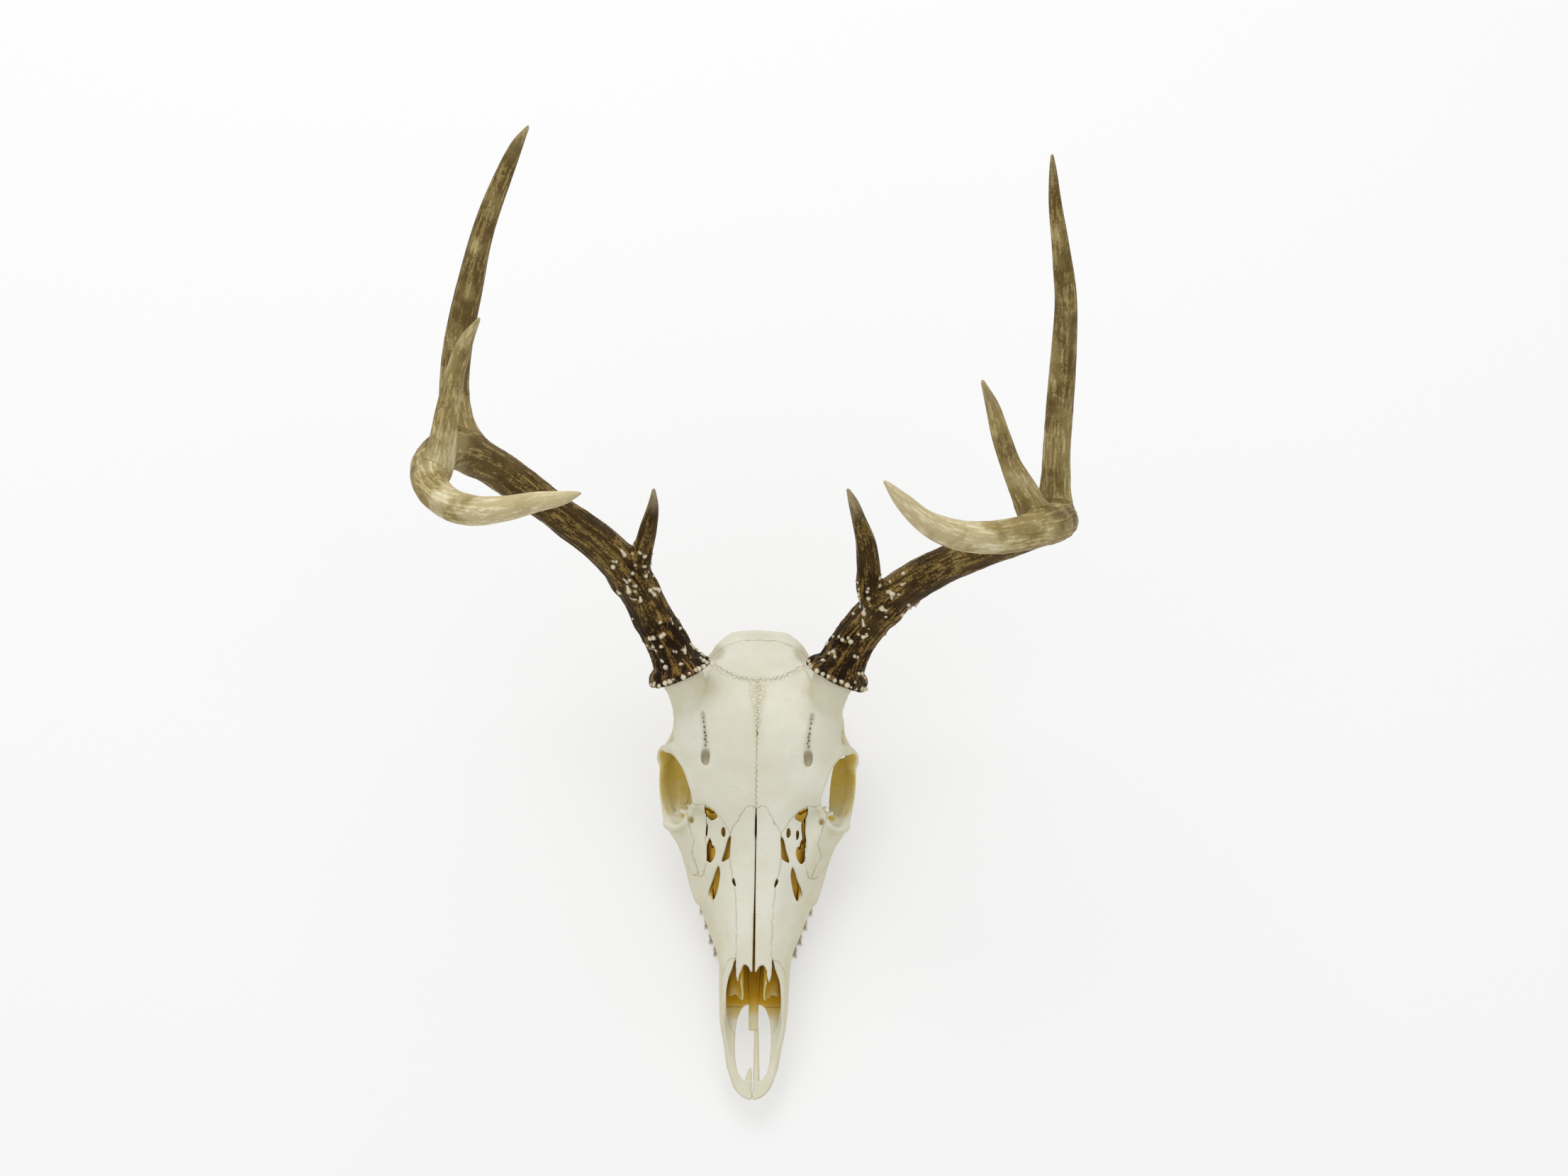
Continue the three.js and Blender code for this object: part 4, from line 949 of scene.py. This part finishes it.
def scroll_region(side):
    def region(x, y, z):
        return np.maximum(np.maximum(100 - y, y - 168), np.maximum(1.6 - side * x, 23 - z))
    return region


for name, side in SIDES.items():
    window, x, y, z = skull.window(*span(side, 0, 30, 98, 170, 22, 84))
    folds = 1.1 * np.sin(side * x * 0.62 + y * 0.11 + 0.8 * uneven(x, y, z, 12, 70 + side))
    body = hull[window] + SCROLL_DEPTH + folds
    body = np.maximum(np.maximum(body, scroll_region(side)(x, y, z)), -(skull.depth[window] - 0.35))
    start = skull.low + np.array([part.start for part in window]) * GRAIN
    points, quads = faces_of(np.pad(body, 1, constant_values=3.0), start - GRAIN, GRAIN)
    # The scrolls are painted amber and yellow, partly their own colour and partly painted shade deep in the
    # nose.
    shade = {"amber_and_shade": np.full(len(points), 0.80), "stain_and_shade": np.ones(len(points))}
    piece_of(f"nose_scroll_{name}", points, quads, BONE, shade)

CURL = [(15.6, 25), (13.6, 27.4), (11, 28.6), (8.4, 30.2), (6.6, 33.5), (6.3, 37.5), (7.6, 40.5)]
CURL_FRONT = [61.5, 59.6, 60.4, 58.6, 56.6, 60.5, 66]
CURL_BACK, CURL_THICK = 108, 0.8


def sheet_piece(name, spine, thick, finish, painted, stands_for=()):
    """A thin sheet with closed edges from a grid of places, rounded by subdivision."""
    rows, columns = spine.shape[:2]
    piece_faces = [(r * columns + c, r * columns + c + 1, (r + 1) * columns + c + 1, (r + 1) * columns + c)
                   for r in range(rows - 1) for c in range(columns - 1)]
    piece = piece_of(name, spine.reshape(-1, 3), np.array(piece_faces), finish, painted, stands_for)
    leaf = piece.modifiers.new("leaf", "SOLIDIFY")
    leaf.thickness, leaf.offset = thick * MM, 0
    rounding = piece.modifiers.new("rounding", "SUBSURF")
    rounding.levels = rounding.render_levels = 1
    return piece


for name, side in SIDES.items():
    profile = bent([(x, z, f) for (x, z), f in zip(CURL, CURL_FRONT)], 6)
    shares = np.linspace(0, 1, 40) ** 1.4
    spine = []
    for x, z, front in profile:
        ragged = 0.7 * float(uneven(np.array([x]), np.array([z]), np.zeros(1), 1.6, 75 + side)[0])
        spine.append([(side * x, front + ragged + (CURL_BACK - front) * s, z + 9 * s) for s in shares])
    spine = np.array(spine)
    rim = np.exp(-(spine[..., 1] - spine[:, :1, 1]) / 2.0).ravel()
    # The curls are painted amber, partly their own colour and partly painted shade, lighter along their front
    # edge.
    shade = {"amber_and_shade": 0.82 * (1 - 0.75 * rim), "stain_and_shade": np.ones(rim.size)}
    sheet_piece(f"nose_curl_{name}", spine, CURL_THICK, BONE, shade)

# A thin upright wall parts the two sides of the nose behind; its dark amber colour is painted shade.
spine = np.array([[(-0.45, y + 9 * t, 21 + (23 + 0.42 * (y - 126)) * t) for y in np.linspace(126, 165, 24)]
                  for t in np.linspace(0, 1, 16)])
edge_on = spine[..., 0].size
shade = {"amber_and_shade": np.full(edge_on, 0.85), "deep_shade": np.full(edge_on, 0.6), "stain_and_shade": np.ones(edge_on)}
sheet_piece("nose_wall", spine, 2.4, BONE, shade)

VOMER = [(41, 2.5, 18.2), (48, 2.6, 18.6), (56, 2.7, 19), (70, 3, 19.6), (100, 3.4, 20), (148, 3.6, 20.6)]
spine = []
for y, half, z in evenly(np.array(VOMER, float)[:, [1, 0, 2]], 2.0)[:, [1, 0, 2]]:
    lip = 1.0 + 5 * float(eased(y, 58, 100))
    spine.append([(half * u, y, z + lip * abs(u) ** 2.2 - 0.6) for u in np.linspace(-1, 1, 13)])
spine = np.array(spine)
# Amber rises towards the back, partly the bone's colour and partly painted shade deeper in the nose.
shade = {"amber_and_shade": 0.15 + 0.75 * eased(spine[..., 1], 47, 60).ravel(), "stain_and_shade": np.ones(spine[..., 0].size)}
sheet_piece("vomer_leaf", spine, 1.3, BONE, shade, ["vomer"])

# ------------------------------------------------------------------ Cheek teeth
# Three premolars and three molars a side, worn flat. Each molar is two crescent-shaped columns with
# hard enamel edges and a dark stained pit in each; the cheek side is ribbed.
TOOTH_GRAIN = 0.44
ROW_FRONT = 87
TOOTH_LENGTHS = [7.5, 9, 9, 13, 16, 15]
CROWN_TOP = 17.5
TOOTH_LIFT = [1.4, 0.9, 0.5, 0.0, 0.0, 0.3]

enamel = Recipe("enamel", 0.3, 0.5)
CREAM, WORN_CREAM = (0.74, 0.68, 0.52), (0.60, 0.50, 0.32)
PIT_BROWN, GUM_BROWN = (0.035, 0.02, 0.01), (0.17, 0.125, 0.07)
cream = enamel.mix(enamel.ramp(enamel.clouds(3, 3), 0.35, 0.7), CREAM, WORN_CREAM)
cream = enamel.mix(enamel.painted("pit"), cream, PIT_BROWN)
cream = enamel.mix(enamel.painted("neck"), cream, GUM_BROWN)
lines = enamel.clouds(1.2, 4, 0.6)
ENAMEL = enamel.done(cream, enamel.ramp(lines, 0.3, 0.7, 0.22, 0.42), enamel.bump(lines, 0.12, 0.5))


def tooth_form(x, y, z, n, middle, outer, length, width):
    """One tooth: lobes, ribs, chewing surface; gives its distance and how deep a place is in a pit."""
    lobes = [0.0] if n < 3 else [-length / 4, length / 4]
    lean = 0.10 * (z - 6) + 0.55 * np.maximum(z - 11.5, 0)
    tongue = outer - width
    side_face = np.full(np.broadcast(x, y, z).shape, 9.0, np.float32)
    pit = np.full(side_face.shape, 9.0, np.float32)
    half = length / (2 * len(lobes))
    for lobe in lobes:
        u, v = x + lean - (outer - width * 0.5), y - middle - lobe
        square = np.where(u > 0, 3.8, 2.0)
        body = np.abs(u / (width * 0.5)) ** square + np.abs(v / (half * 1.02)) ** square
        body = (body ** (1 / square) - 1) * min(width * 0.5, half)
        side_face = joined(side_face, body, 1.2)
        for ribbed, radius in ((-half * 0.92, 0.9), (0.0, 0.8), (half * 0.92, 0.9)):
            rib = np.sqrt((x + lean - outer + 0.55) ** 2 + (v - ribbed) ** 2) - radius
            side_face = joined(side_face, rib, 0.9)
        arc = np.sqrt(((u + 0.4) / (width * 0.24)) ** 2 + (v / (half * 0.55)) ** 2)
        arc = np.abs(arc - 1) * min(width * 0.24, half * 0.55) + 1.5 * np.maximum(u - width * 0.12, 0)
        pit = np.minimum(pit, arc - 0.42)
    rim = 0.55 * (1 - np.exp(-((side_face / 0.75) ** 2))) * (1 - np.exp(-(np.maximum(pit, 0) / 0.6) ** 2))
    notch = 1 - np.cos((y - middle - lobes[0]) * math.pi / half)
    wear = TOOTH_LIFT[n] + rim + 0.5 * notch * (x - tongue) / width
    depth = np.maximum(np.maximum(side_face, wear - z), z - CROWN_TOP)
    sink = np.maximum(pit, z - wear - 2.6)
    return np.maximum(depth, -sink), sink


row = Clay((14, 82, -0.6), (42, 162, 19), TOOTH_GRAIN)
sinks = row.depth.copy()
tooth_y = ROW_FRONT
for n, length in enumerate(TOOTH_LENGTHS):
    middle = tooth_y + length / 2
    outer = along(TOOTH_LINE, np.array([middle]))[0, 0] + 2.0
    width = 13.0 if n > 2 else 8.5 + n
    part, x, y, z = row.window((outer - width - 3, middle - length, -1), (outer + 3, middle + length, 19))
    depth, sink = tooth_form(x, y, z, n, middle, outer, length * 0.96, width)
    row.depth[part] = np.minimum(row.depth[part], depth)
    sinks[part] = np.minimum(sinks[part], sink)
    tooth_y += length
tooth_points, tooth_quads = faces_of(row.depth, row.low, TOOTH_GRAIN)
tooth_shade = {"pit": eased(-row.at(tooth_points, sinks), -0.25, 0.15),
               "neck": 0.85 * eased(tooth_points[:, 2], 5, 11)}
tooth_points[:, 2] -= tooth_points[:, 2].min()
for name, side in SIDES.items():
    points = tooth_points * np.array([side, 1, 1])
    piece_of(f"teeth_{name}", points, tooth_quads[:, ::side], ENAMEL, tooth_shade)

# ------------------------------------------------------------------ Antlers
# Each antler is solid bone that grew from the stump: a crown of beads at its foot, dark rough bark
# with pale beads low down, long furrows along the beam, and tines rubbed smooth and pale at the tips.
ANTLER_GRAIN = 0.76
BURR_HEIGHT, BURR_SWELL, BURR_DROP, BELL = 7.0, 4.0, 1.6, 2.6
ANTLERS = {
    "left": {
        "beam": [[45, 233, 107, 12.9], [53, 248, 115, 12.2], [62, 259, 124, 11.8], [73, 269, 134, 11.3],
                 [88, 277, 148, 10.8], [107, 283, 164, 10.3], [128, 286, 183, 9.8], [147, 287, 205, 9.7],
                 [158, 285, 230, 9.9], [159, 277, 255, 10.1], [151, 266, 278, 9.9], [136, 255, 297, 9],
                 [118, 247, 312, 8.2], [99, 244, 326, 7.4], [84, 246, 339, 5.9], [73, 252, 350, 4.3],
                 [64, 259, 358, 1]],
        "brow": [[75, 264, 132, 6.5], [63, 273, 141, 7.3], [62, 283, 154, 6.6], [60, 293, 168, 5.6],
                 [56, 301, 181, 4.1], [52, 308, 194, 2.7], [49, 312, 202, 1]],
        "second": [[156, 282, 234, 7], [158, 289, 242, 8.8], [158, 299, 253, 7.9], [157, 310, 267, 7.3],
                   [157, 329, 289, 7.2], [157, 348, 311, 6.7], [156, 369, 335, 5.8], [152, 387, 354, 4.5],
                   [148, 403, 369, 3.4], [146, 415, 380, 2.1], [145, 422, 386, 0.9]],
        "third": [[152, 268, 271, 6.5], [145, 271, 277, 8.0], [138, 280, 289, 7.3], [130, 290, 303, 5.4],
                  [124, 300, 317, 4.8], [119, 310, 330, 3.6], [113, 319, 342, 1.1]],
    },
    "right": {
        "beam": [[-44.5, 233, 107, 12.7], [-52, 248, 115, 11.9], [-61, 261, 125, 11.6], [-70, 276, 137, 11.3],
                 [-86, 291, 153, 10.8], [-108, 303, 172, 10.3], [-127, 311, 193, 10.2],
                 [-147, 318, 217, 10.5], [-163, 316, 245, 10.6], [-170, 299, 272, 10],
                 [-167, 278, 293, 9.1], [-155, 262, 310, 8.2], [-140, 253, 324, 7.4],
                 [-123, 250, 336, 6.3], [-106, 250, 346, 4.9], [-92, 250, 353, 3.3], [-84, 251, 357, 1]],
        "brow": [[-78, 278, 139, 6.5], [-70, 284, 145, 7.1], [-65, 293, 158, 5.6], [-62, 299, 171, 4.8],
                 [-59, 306, 186, 3.2], [-58, 311, 200, 1]],
        "second": [[-154, 316, 227, 7], [-158, 323, 231, 9.3], [-163, 335, 240, 8.9], [-164, 349, 252, 8],
                   [-160, 367, 272, 7.7], [-152, 389, 297, 6.9], [-143, 410, 321, 5.7], [-133, 427, 340, 4.7],
                   [-124, 440, 355, 3.1], [-118, 446, 363, 0.9]],
        "third": [[-167, 286, 282, 6.5], [-164, 292, 287, 7.8], [-161, 301, 298, 6.9], [-157, 315, 312, 5.8],
                  [-152, 328, 327, 4.8], [-146, 338, 340, 3.6], [-139, 346, 349, 0.9]],
    },
}
# Foot and tip of each branch on the scale from dark bark to pale horn; where its rubbed tip starts
# and how strong it is; and how far its foot spreads into the branch before it.
TONES = {"beam": (0.0, 1.15), "brow": (0.04, 0.34), "second": (0.74, 0.62), "third": (0.82, 0.80)}
TIPS = {"beam": (0.93, 0.35), "brow": (0.72, 0.6), "second": (0.9, 0.3), "third": (0.78, 0.5)}
FORK_BLEND = {"beam": 0, "brow": 5, "second": 6, "third": 6}


class Branch:
    """One branch: places set every millimetre along it, each with a radius and its own directions."""

    def __init__(self, name, points, seed):
        line = evenly(bent(points, 10), 1.0)
        self.name, self.seed = name, seed
        self.place, self.radius = line[:, :3], line[:, 3]
        way = np.gradient(self.place, axis=0)
        self.way = way / np.linalg.norm(way, axis=1)[:, None]
        across, self.across = np.array([1.0, 0, 0]), []
        for direction in self.way:
            across = across - direction * (across @ direction)
            across = across / np.linalg.norm(across)
            self.across.append(across)
        self.across = np.array(self.across)
        self.beside = np.cross(self.way, self.across)
        self.taper = np.gradient(self.radius)
        self.length = float(len(line) - 1)
        self.first = name == "beam"

    def near(self, middle, reach):
        return np.nonzero(np.linalg.norm(self.place - middle, axis=1) < reach + self.radius + 14)[0]

    def look(self, points, some):
        """Distance to the bark, place along and round the branch, and how high the bark stands."""
        gap = ((points[:, None, :] - self.place[some][None]) ** 2).sum(-1)
        i = some[np.argmin(gap, axis=1)]
        away = points - self.place[i]
        ahead = (away * self.way[i]).sum(1)
        u, v = (away * self.across[i]).sum(1), (away * self.beside[i]).sum(1)
        past = np.where(i == len(self.place) - 1, np.maximum(ahead, 0), 0)
        if not self.first:
            past = past + np.where(i == 0, np.maximum(-ahead, 0), 0)
        out = np.sqrt(u * u + v * v + past * past)
        run = i + ahead
        radius = self.radius[i] + self.taper[i] * np.clip(ahead, -1, 1)
        turn = np.maximum(out, 1e-3)
        cu, cv = u / turn * radius, v / turn * radius
        long_furrow = 1 - np.abs(uneven(cu, cv, run / 9, 3.1, self.seed)) * 2.4
        fine_furrow = 1 - np.abs(uneven(cu, cv, run / 6, 1.7, self.seed + 1)) * 2.2
        knots = uneven(cu, cv, run, 3.4, self.seed + 2)
        swell = uneven(cu, cv, run / 3, 9, self.seed + 3)
        share = np.clip(run / self.length, 0, 1)
        rough = eased(radius, 3.0, 9.5) * (1 - 0.55 * share if self.first else 0.75 - 0.6 * share)
        low = eased(run, 120, 10) if self.first else np.zeros(len(run))
        relief = 0.62 * long_furrow + 0.38 * fine_furrow + 0.6 * low * knots
        radius = radius + rough * (0.75 * relief - 0.25) + 0.35 * swell * eased(radius, 2, 6)
        if self.first:
            rise = np.clip(1 - ((run - 2.0) / (BURR_HEIGHT - 2)) ** 2, 0, 1)
            radius = radius + BURR_SWELL * np.sqrt(rise) * (0.85 + 0.35 * knots)
            radius = radius + BELL * np.exp(-np.maximum(run, 0) / 8)
        depth = out - radius
        if self.first:
            lip = BURR_DROP * eased(out, 12.5, 14.5)
            depth = np.maximum(depth, -ahead - lip - np.where(i == 0, 0, 9))
        return depth, {"run": run, "share": share, "relief": relief, "cu": cu, "cv": cv}


FRONT = -0.5 * math.pi                       # the side of the beam that most beads stand on


def beads_of(beam, brow, rng):
    """Pale beads of bone: two rings round the foot, and more scattered up the beam's bark."""
    beads = []

    def on(branch, run, angle, lift, radius):
        i = int(np.clip(run, 0, len(branch.place) - 1))
        out = branch.across[i] * math.cos(angle) + branch.beside[i] * math.sin(angle)
        place = branch.place[i] + branch.way[i] * (run - i) + out * (branch.radius[i] + lift)
        beads.append([*place, radius])

    for k in range(30):
        angle = 2 * math.pi * (k + rng.uniform(-0.3, 0.3)) / 30
        on(beam, rng.normal(0.6, 0.5), angle, rng.normal(5.9, 0.3), rng.uniform(0.8, 1.5))
    for _ in range(20):
        run = rng.uniform(2.5, 9)
        on(beam, run, rng.uniform(0, 2 * math.pi), 6.2 - 0.55 * run, rng.uniform(0.6, 1.4))
    for _ in range(42):
        run = 11 + 72 * rng.random() ** 1.2
        angle = FRONT + rng.normal(0, 0.8)
        radius = 0.6 + 0.8 * rng.random() ** 2
        on(beam, run, angle, 0.25 + 0.3 * radius, radius)
        if rng.random() < 0.5:
            turn = rng.uniform(-0.6, 0.6)
            for step in range(1, rng.integers(2, 5)):
                on(beam, run + 1.1 * step * math.cos(turn), angle + 0.18 * step * math.sin(turn),
                   0.3 + 0.2 * radius, radius * (0.8 - 0.1 * step))
    for _ in range(30):
        on(brow, 8 + 22 * rng.random(), rng.uniform(0, 2 * math.pi), 0.3, rng.uniform(0.5, 1.1))
    return np.array(beads)


def antler_look(points, branches, some, beads):
    """The whole antler at some places: distance, and what its finish needs to know there."""
    depth, kept = np.full(len(points), 9.0), None
    for branch, near in zip(branches, some):
        if len(near) == 0:
            continue
        own, facts = branch.look(points, near)
        low, high = TONES[branch.name]
        facts["tone"] = low + (high - low) * facts["share"]
        start, strength = TIPS[branch.name]
        facts["tip"] = strength * eased(facts["share"], start, 1.0)
        facts["seed"] = np.full(len(points), float(branch.seed))
        if kept is None:
            depth, kept = own, facts
            continue
        nearer = own < depth
        share = np.clip(0.5 + (depth - own) / 8, 0, 1)
        for key in kept:
            if key == "tone":
                kept[key] = kept[key] * (1 - share) + facts[key] * share
            else:
                kept[key] = np.where(nearer, facts[key], kept[key])
        depth = joined(depth, own, FORK_BLEND[branch.name])
    if kept is None:
        return depth, None
    bead = np.full(len(points), 9.0)
    if len(beads):
        gaps = np.sqrt(((points[:, None, :] - beads[None, :, :3]) ** 2).sum(-1)) - beads[None, :, 3]
        bead = gaps.min(axis=1)
        depth = joined(depth, bead, 0.7)
    kept["bead"] = bead
    return depth, kept


HOLLOWS = [(0.0, (0.014, 0.0065, 0.0015)), (0.35, (0.066, 0.038, 0.010)), (0.62, (0.13, 0.085, 0.025)),
           (0.82, (0.30, 0.225, 0.085)), (1.0, (0.55, 0.46, 0.25))]
RIDGES = [(0.0, (0.22, 0.125, 0.028)), (0.35, (0.29, 0.195, 0.060)), (0.62, (0.34, 0.25, 0.095)),
          (0.82, (0.56, 0.455, 0.215)), (1.0, (0.78, 0.70, 0.47))]
HORN_TIP, PEARL = (0.54, 0.46, 0.28), (0.74, 0.66, 0.48)


def antler_finish():
    horn = Recipe("antler", 0.5, 0.08)
    lie = horn.painted("lie", "Vector")
    streak = horn.clouds(1.15, 5, 0.7, lie, 0.4)
    wide_streak = horn.clouds(3.4, 4, 0.62, lie)
    furrow = horn.ramp(horn.cells(2.1, "DISTANCE_TO_EDGE", lie), 0.0, 0.16, 1, 0)
    mottle = horn.clouds(1.5, 4, 0.65, None, 0.6)
    blotch = horn.clouds(18, 3)
    tone = horn.sum("ADD", horn.painted("tone"), horn.ramp(blotch, 0.3, 0.7, -0.12, 0.12))
    colours = []
    for steps in (HOLLOWS, RIDGES):
        colour = steps[0][1]
        for (low, _), (high, after) in zip(steps[:-1], steps[1:]):
            colour = horn.mix(horn.ramp(tone, low, high), colour, after)
        colours.append(colour)
    relief = horn.sum("ADD", horn.painted("relief"), horn.ramp(streak, 0.32, 0.68, -0.62, 0.66))
    relief = horn.sum("ADD", relief, horn.ramp(wide_streak, 0.34, 0.66, -0.34, 0.36))
    mottling = horn.ramp(mottle, 0.32, 0.68, -0.55, 0.58)
    mottling = horn.sum("MULTIPLY", mottling, horn.ramp(tone, 0.45, 1.0, 1.0, 0.5))
    relief = horn.sum("ADD", relief, mottling)
    relief = horn.sum("SUBTRACT", relief, horn.sum("MULTIPLY", furrow, 0.55))
    colour = horn.mix(horn.ramp(relief, 0.0, 1.3), *colours)
    tip = horn.sum("MULTIPLY", horn.painted("tip"), horn.ramp(streak, 0.35, 0.5, 0.55, 1.0))
    colour = horn.mix(tip, colour, HORN_TIP)
    pearl = horn.sum("MULTIPLY", horn.painted("pearl"), horn.ramp(streak, 0.2, 0.6, 0.75, 1.0))
    colour = horn.mix(pearl, colour, PEARL)
    rough = horn.ramp(streak, 0.3, 0.7, 0.62, 0.42)
    normal = horn.bump(horn.sum("SUBTRACT", streak, horn.sum("MULTIPLY", furrow, 0.3)), 0.4, 0.9)
    normal = horn.bump(mottle, 0.35, 0.6, normal)
    normal = horn.bump(horn.clouds(0.8, 3, 0.6), 0.10, 0.5, normal)
    return horn.done(colour, rough, normal)


ANTLER = antler_finish()
# The form is worked out in cubes of places, and only where bark is near.
BLOCK = 22                                   # places along a cube's edge
HALF_DIAGONAL = 0.87
ANTLER_ROOM = 22
BARK_REACH = 19
for name, antler in ANTLERS.items():
    seed = 100 if name == "left" else 200
    branches = [Branch(part, points, seed + 10 * n) for n, (part, points) in enumerate(antler.items())]
    beads = beads_of(branches[0], branches[1], np.random.default_rng(seed))
    every = np.vstack([branch.place for branch in branches])
    low = every.min(0) - ANTLER_ROOM
    count = np.ceil((every.max(0) + ANTLER_ROOM - low) / (BLOCK * ANTLER_GRAIN)).astype(int)
    inner = np.stack(np.meshgrid(*[np.arange(BLOCK)] * 3, indexing="ij"), -1).reshape(-1, 3)
    reach = BLOCK * ANTLER_GRAIN * HALF_DIAGONAL

    def nearby(middle):
        some = [branch.near(middle, reach) for branch in branches]
        close = np.linalg.norm(beads[:, :3] - middle, axis=1) < reach + 5
        return some, beads[close]

    grid = openvdb.FloatGrid(3.0)
    for corner in np.ndindex(*count):
        first = np.array(corner) * BLOCK
        middle = low + (first + BLOCK / 2) * ANTLER_GRAIN
        if np.min(np.linalg.norm(every - middle, axis=1)) > reach + BARK_REACH:
            continue
        some, close = nearby(middle)
        if not any(len(near) for near in some):
            continue
        depth, facts = antler_look(low + (first + inner) * ANTLER_GRAIN, branches, some, close)
        block = np.clip(depth / ANTLER_GRAIN, -3, 3).astype(np.float32).reshape(BLOCK, BLOCK, BLOCK)
        grid.copyFromArray(block, ijk=tuple(int(k) for k in first))
    points, quads = grid.convertToQuads(0.0)
    points = points * ANTLER_GRAIN + low
    keys = ((points - low) / (BLOCK * ANTLER_GRAIN)).astype(int)
    code = (keys[:, 0] * count[1] + keys[:, 1]) * count[2] + keys[:, 2]
    order = np.argsort(code, kind="stable")
    cuts = np.nonzero(np.diff(code[order]))[0] + 1
    shade = {key: np.zeros(len(points)) for key in ("tone", "relief", "pearl", "tip")}
    shade["lie"] = np.zeros((len(points), 3))
    for group in np.split(order, cuts):
        middle = low + (keys[group[0]] + 0.5) * BLOCK * ANTLER_GRAIN
        some, close = nearby(middle)
        depth, facts = antler_look(points[group], branches, some, close)
        shade["tone"][group] = facts["tone"]
        shade["relief"][group] = facts["relief"]
        shade["pearl"][group] = eased(facts["bead"], 0.35, -0.05)
        shade["tip"][group] = facts["tip"]
        lie = np.stack([facts["cu"], facts["cv"], facts["run"] / 9 + facts["seed"]], axis=1)
        shade["lie"][group] = lie * MM
    nodes = [f"antler_{name}_{part}" for part in ("base", "lower_beam", "upper_beam", "tip", "brow_tine",
                                                  "second_tine", "third_tine")]
    piece_of(f"antler_{name}", points, quads, ANTLER, shade, nodes)

# ------------------------------------------------------------------ Floor, light and camera
# A pale matt table top under soft, even studio light from large panels. The camera looks down on the
# brow at 72 degrees above the floor, from 1.5 m up and a little in front of the nose.
EYE = np.array([24.5, -173.3, 1519.1])       # the camera, measured from the nose as the skull is
LIFT, TURN, ROLL = math.radians(72), math.radians(1.3), math.radians(-1.02)
FOCAL, FILM, IMAGE_WIDTH = 3594, 36, 2212    # focal length and image width in pixels, film in mm
back = Vector((math.sin(TURN) * math.cos(LIFT), -math.cos(TURN) * math.cos(LIFT), math.sin(LIFT)))
up = (Vector((0, 1, 0)) - back * back.y).normalized()
right = up.cross(back)
up, right = up * math.cos(ROLL) + right * math.sin(ROLL), right * math.cos(ROLL) - up * math.sin(ROLL)
lens = bpy.data.cameras.new("camera")
lens.sensor_width = FILM
lens.lens = FOCAL / IMAGE_WIDTH * FILM
lens.clip_end = 50
camera = bpy.data.objects.new("camera", lens)
spot = Vector((EYE + SHIFT) * MM)
camera.matrix_world = Matrix.Translation(spot) @ Matrix((right, up, back)).transposed().to_4x4()
bpy.context.scene.collection.objects.link(camera)
bpy.context.scene.camera = camera

FLOOR_HALF = 6                               # in metres, as the floor and the lights are
PAPER_GREY, PAPER_GLOW = (0.57, 0.57, 0.57), 0.36
SKY_STRENGTH = 0.66
floor_mesh = bpy.data.meshes.new("floor")
corners = [(-FLOOR_HALF, -FLOOR_HALF, 0), (FLOOR_HALF, -FLOOR_HALF, 0), (FLOOR_HALF, FLOOR_HALF, 0),
           (-FLOOR_HALF, FLOOR_HALF, 0)]
floor_mesh.from_pydata(corners, [], [(0, 1, 2, 3)])
floor = bpy.data.objects.new("floor", floor_mesh)
bpy.context.scene.collection.objects.link(floor)
paper = Recipe("paper", 0.9, 0.1)
paper.surface.inputs["Emission Color"].default_value = (1, 1, 1, 1)
paper.surface.inputs["Emission Strength"].default_value = PAPER_GLOW
floor_mesh.materials.append(paper.done(PAPER_GREY))

world = bpy.data.worlds.new("studio")
world.use_nodes = True
world.node_tree.nodes["Background"].inputs["Color"].default_value = (1, 1, 1, 1)
world.node_tree.nodes["Background"].inputs["Strength"].default_value = SKY_STRENGTH
bpy.context.scene.world = world
PANELS = [  # place, size, power
    ((-0.3, 1.4, 1.8), 1.5, 19),
    ((0.9, -0.1, 1.7), 1.2, 3),
    ((-0.9, -0.3, 1.7), 1.2, 3),
]
for n, (spot, size, power) in enumerate(PANELS):
    lamp = bpy.data.lights.new(f"panel_{n}", "AREA")
    lamp.size, lamp.energy = size, power
    panel = bpy.data.objects.new(f"panel_{n}", lamp)
    panel.location = spot
    panel.rotation_euler = (Vector((0, 0, 0.1)) - Vector(spot)).to_track_quat("-Z", "Y").to_euler()
    bpy.context.scene.collection.objects.link(panel)
bpy.context.scene.view_settings.view_transform = "Standard"
